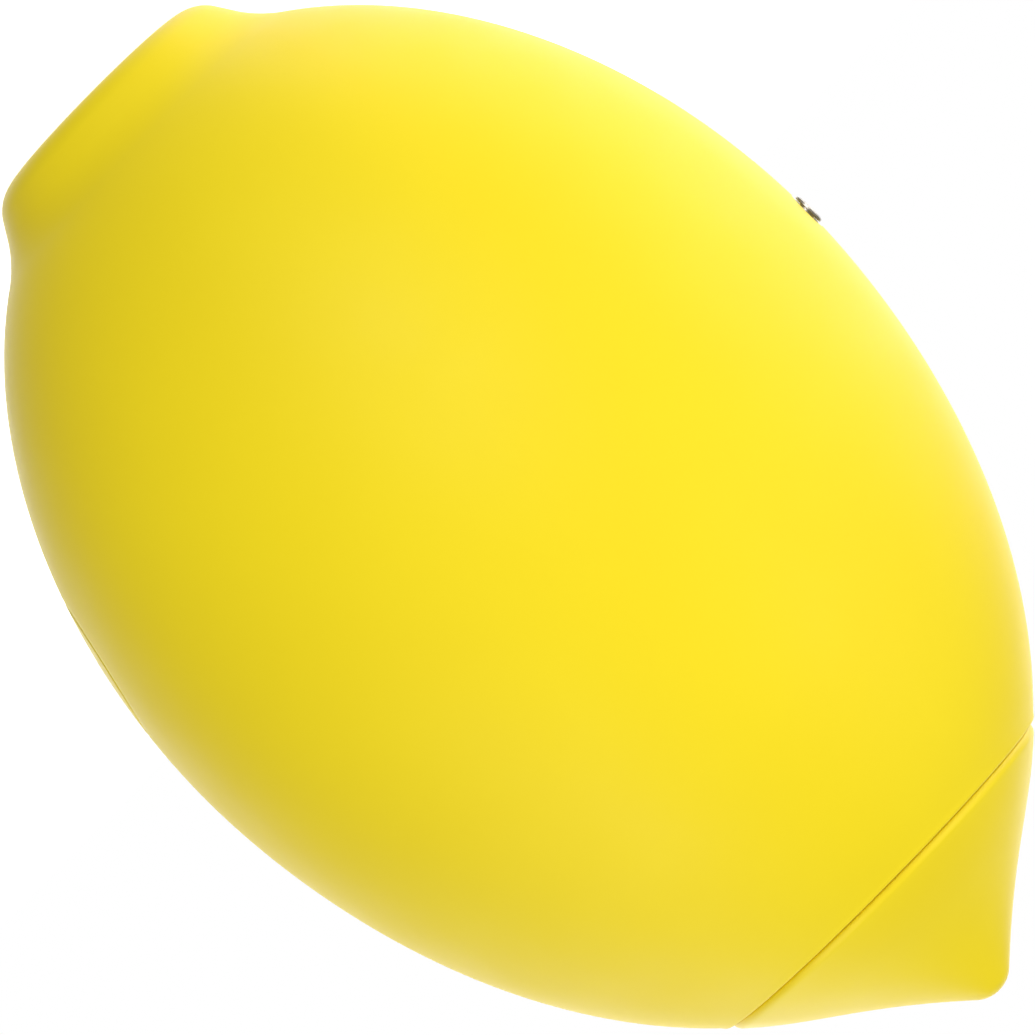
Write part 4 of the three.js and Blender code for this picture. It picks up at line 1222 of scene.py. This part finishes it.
def water_tank():
    low, top = tank_low.z, tank_high.z
    wall, depth = TANK_WALL, TANK_DEPTH
    roof = top - 0.9
    edge_z = top - 2
    mouth_r = LEDGE_R - 0.3
    neck_r = mouth_r + 1.9
    outer = along(12, lambda t: low + 2 + (edge_z - low - 2) * t)
    outside = [(inset_radius(z, depth), z) for z in outer]
    inner = along(12, lambda t: low + wall + 1.6 + (edge_z - 0.6 - low - wall - 1.6) * t)
    inside = [(inset_radius(z, depth + wall), z) for z in inner]
    bottom = [(0, low), (outside[0][0] - 2, low, 1.4)]
    above = [(neck_r + 3, roof, 1.0), (neck_r, roof, 0.3), (neck_r, top, 0.2), (mouth_r, top, 0.2)]
    under = [(mouth_r, roof - wall, 0.2), (neck_r + 3, roof - wall, 0.8)]
    floor_in = [(inside[0][0] - 1.6, low + wall, 1.0), (0, low + wall)]
    corners = bottom + outside + above + under + inside[::-1] + floor_in
    turned("clear_water_tank", corners, CLEAR_TANK, "body", "water_tank", "clear_tank", steps=128)


for pin in ("spring_pin_left", "spring_pin_right"):
    spring_pin(pin)
water_tank()
flat_ring("tank_neck_gasket", "tank_gasket", LEDGE_R - 0.3, SEAL, "seal", edge=0.15, body="body")

# %% [markdown]
# ## The battery, screws and magnets
#
# These stay out of sight in the closed case, but a service view shows them, so the round ones
# get their real section too: the battery its rolled groove and raised pole, the screws their
# rounded head with a cross, and the magnets their plated edges. Each lies along X or Y, so the
# profile is spun about that axis instead.

# %% Battery
battery_low, battery_high = node_box("battery_cell")
ALONG_X = dict(axis=(1, 0, 0), side=(0, 1, 0))
ALONG_Y = dict(axis=(0, 1, 0), side=(1, 0, 0))


def battery():
    low, high = battery_low, battery_high
    r = (high.z - low.z) / 2
    shoulder = high.x - 1
    groove = shoulder - 3.2
    pole_r = r * 0.35
    turned("battery_rolled_can", [
        (0, low.x), (r * 0.86, low.x), (r * 0.9, low.x + 0.12), (r, low.x + 0.12, 0.3),
        (r, groove - 0.6, 0.4), (r - 0.55, groove, 0.4), (r, groove + 0.6, 0.4),
        (r, shoulder, 0.5), (r * 0.8, shoulder, 0.15), (r * 0.76, shoulder - 0.45, 0.15),
        (pole_r + 0.8, shoulder - 0.45, 0.15), (pole_r + 0.3, shoulder - 0.1, 0.1),
        (pole_r, high.x - 0.2, 0.1), (pole_r * 0.8, high.x, 0.2), (0, high.x),
    ], BATTERY_FILM, "body", "battery_cell", "battery_wrap",
        centre=(0, 0, (low.z + high.z) / 2), **ALONG_X)


battery()

# %% [markdown]
# ## Screws and magnets
#
# A thread is a helix, but at this size rings of the same pitch look alike and stay closed. The
# cross in the head is pressed down from a finely divided top instead of being cut.

# %% Screws and magnets
SLOT_HALF_W = 0.25
SLOT_HALF_L = 1.05


def cross_recess(bm, centre, axis, across, head, deep):
    """Presses a cross into a screw's head by moving the points of its top face."""
    axis, across = Vector(axis), Vector(across)
    other = axis.cross(across)
    for v in bm.verts:
        spot = v.co / MM - centre
        height = spot.dot(axis)
        a, b = abs(spot.dot(across)), abs(spot.dot(other))
        inside = min(a, b) < SLOT_HALF_W and max(a, b) < SLOT_HALF_L
        if inside and (head - height) * (1 if head > deep else -1) < 0.25:
            v.co += axis * (deep - head) * MM


def screw(name):
    low, high = node_box(name)
    middle = (low + high) / 2
    r = (high.z - low.z) / 2
    shank = 0.9
    tip = (0, low.x), (0.35, low.x), (shank - 0.1, low.x + 0.7)
    threads = []
    pitch = 0.8
    start = low.x + 1.1
    for i in range(11):
        z = start + i * pitch
        threads += [(shank - 0.18, z - pitch * 0.3), (shank, z), (shank - 0.18, z + pitch * 0.3)]
    under = high.x - 1.4
    head = [(shank - 0.1, under), (r - 0.1, under), (r, under + 0.12), (r, under + 0.6)]
    dome = bezier((r, under + 0.75), (r - 0.1, high.x - 0.3), (1.3, high.x), (1.1, high.x), 5)
    top = [(t, high.x) for t in (0.95, 0.8, 0.65, 0.5, 0.38, 0.27, 0.2, 0.1, 0)]
    bm = spin_profile(
        [*tip, *threads, *head, *dome, *top], 48, centre=(0, middle.y, middle.z), **ALONG_X,
    )
    cross_recess(
        bm, Vector((0, middle.y, middle.z)), (1, 0, 0), (0, 1, 0), high.x, high.x - 0.7,
    )
    return finish_piece(f"{name}_turned", bm, STEEL, "body", name, slot="steel")


def magnet(name):
    low, high = node_box(name)
    middle = (low + high) / 2
    r = (high.x - low.x) / 2
    turned(f"{name}_plated", [
        (0, low.y), (r, low.y, 0.2), (r, high.y, 0.2), (0, high.y),
    ], NICKEL, "body", name, "magnet", steps=48, centre=(middle.x, 0, middle.z), **ALONG_Y)


for number in range(1, 5):
    screw(f"shell_screw_{number}")
for side_name in ("left", "right"):
    magnet(f"magnet_{side_name}")

# %% [markdown]
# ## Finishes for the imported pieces
#
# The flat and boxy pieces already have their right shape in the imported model. They keep it, and
# only their finish changes.

# %% Carried-over pieces
CARRIED = (
    (IVORY, ("left_shell", "right_shell", "button_carrier", "battery_cradle")),
    (BLACK_PLASTIC, ("tact_switch", "switch_plunger", "driver_chip", "power_inductor")),
    (WHITE_PLASTIC, ("battery_connector", "head_connector", "charge_connector")),
    (BOARD, ("circuit_board",)),
    (STEEL, ("board_screw_left", "board_screw_right")),
    (LEAD, ("battery_lead", "charge_lead", "head_lead")),
    (FOAM, ("battery_pad",)),
)
for material, names in CARRIED:
    for name in names:
        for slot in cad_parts[name].material_slots:
            slot.material = material
print("carried over:", sum(len(names) for _, names in CARRIED))

# %% [markdown]
# ## The soft boxes
#
# A product picture on pure white is taken in a tent: soft boxes stand all round it, also behind
# and below the table. The strong ones are towards the viewer and a little to the nose, and the
# weak ones at the back give the pale rims. One big panel would be simpler, but the shading
# would then be the same on every side. Each box is a round area light of the same size and
# distance, so only its direction and its power are listed.

# %% Soft boxes
BOX_DISTANCE = 1.2
BOX_SIZE = 0.9
SIDE_POWER = 4.1
BACK_POWER = 3.3
LIGHTS = (
    ("front_low_box", (-0.87, 0.25, -0.43), 9.0),
    ("front_contact_box", (-0.5, 0.61, 0.61), 4.4),
    ("front_button_box", (-0.5, -0.61, 0.61), 6.4),
    ("contact_side_box", (0.0, 1.0, 0.0), 4.2),
    ("contact_rim", (0.5, 0.87, 0.0), SIDE_POWER),
    ("button_rim", (0.5, -0.61, 0.61), SIDE_POWER),
    ("table_box", (0.5, 0.61, -0.61), SIDE_POWER),
    ("back_contact_box", (0.91, 0.42, 0.0), BACK_POWER),
    ("back_nose_box", (0.91, 0.0, 0.42), BACK_POWER),
    ("back_button_box", (0.91, -0.42, 0.0), BACK_POWER),
    ("back_stem_box", (0.91, 0.0, -0.42), BACK_POWER),
)


def area_light(name, direction, power):
    """A round soft box that looks at the middle of the lemon from a direction."""
    data = bpy.data.lights.new(name, "AREA")
    data.shape = "DISK"
    data.size = BOX_SIZE
    data.energy = power
    light = bpy.data.objects.new(name, data)
    away = Vector(direction).normalized()
    light.location = Vector((0, 0, CENTRE_Z * MM)) + away * BOX_DISTANCE
    light.visible_camera = False
    light.rotation_mode = "QUATERNION"
    light.rotation_quaternion = away.to_track_quat("Z", "Y")
    bpy.context.scene.collection.objects.link(light)


for light_name, direction, power in LIGHTS:
    area_light(light_name, direction, power)
print("soft boxes:", len(LIGHTS))

# %% [markdown]
# ## The white of the tent
#
# The tent's cloth fills in between the boxes with an even, weaker light from everywhere. To the
# eye it has to be pure white all the same, as in a picture that is exposed for the object and
# not for the cloth. One strength can't do both, so the world asks what kind of ray it answers.

# %% Tent
TENT_LIGHT = 0.30

world = bpy.data.worlds.new("studio")
bpy.context.scene.world = world
world.use_nodes = True
sky = world.node_tree
cloth = sky.nodes["Background"]
cloth.inputs["Color"].default_value = (1, 1, 1, 1)
path = sky.nodes.new("ShaderNodeLightPath")
strength = maths(sky, "MAXIMUM", path.outputs["Is Camera Ray"], TENT_LIGHT)
sky.links.new(strength, cloth.inputs["Strength"])

# %% [markdown]
# ## The floor
#
# The floor is a light table: a pale sheet that glows as white as the tent, so that the object
# leaves no shadow and the table light reaches it from below. A plain floor lit from above
# would turn grey behind the object.

# %% Floor
FLOOR_HALF = 4.0
FLOOR_DROP = 0.2  # below the stem face
FLOOR_GREY = (0.5, 0.5, 0.5, 1)

floor_bm = bmesh.new()
bmesh.ops.create_grid(floor_bm, x_segments=1, y_segments=1, size=FLOOR_HALF)
floor_mesh = bpy.data.meshes.new("floor")
floor_bm.to_mesh(floor_mesh)
floor_bm.free()
floor = bpy.data.objects.new("floor", floor_mesh)
floor.location.z = -FLOOR_DROP * MM
bpy.context.scene.collection.objects.link(floor)
floor_material, _, floor_shader, _ = new_material("pale_floor")
floor_shader.inputs["Base Color"].default_value = FLOOR_GREY
floor_shader.inputs["Roughness"].default_value = 0.9
floor_shader.inputs["Specular IOR Level"].default_value = 0.0
floor_shader.inputs["Emission Color"].default_value = (1, 1, 1, 1)
floor_shader.inputs["Emission Strength"].default_value = 1.0
floor_mesh.materials.append(floor_material)
floor.visible_diffuse = False
floor.visible_glossy = False
floor.visible_shadow = False
bpy.context.scene.view_settings.view_transform = "Standard"
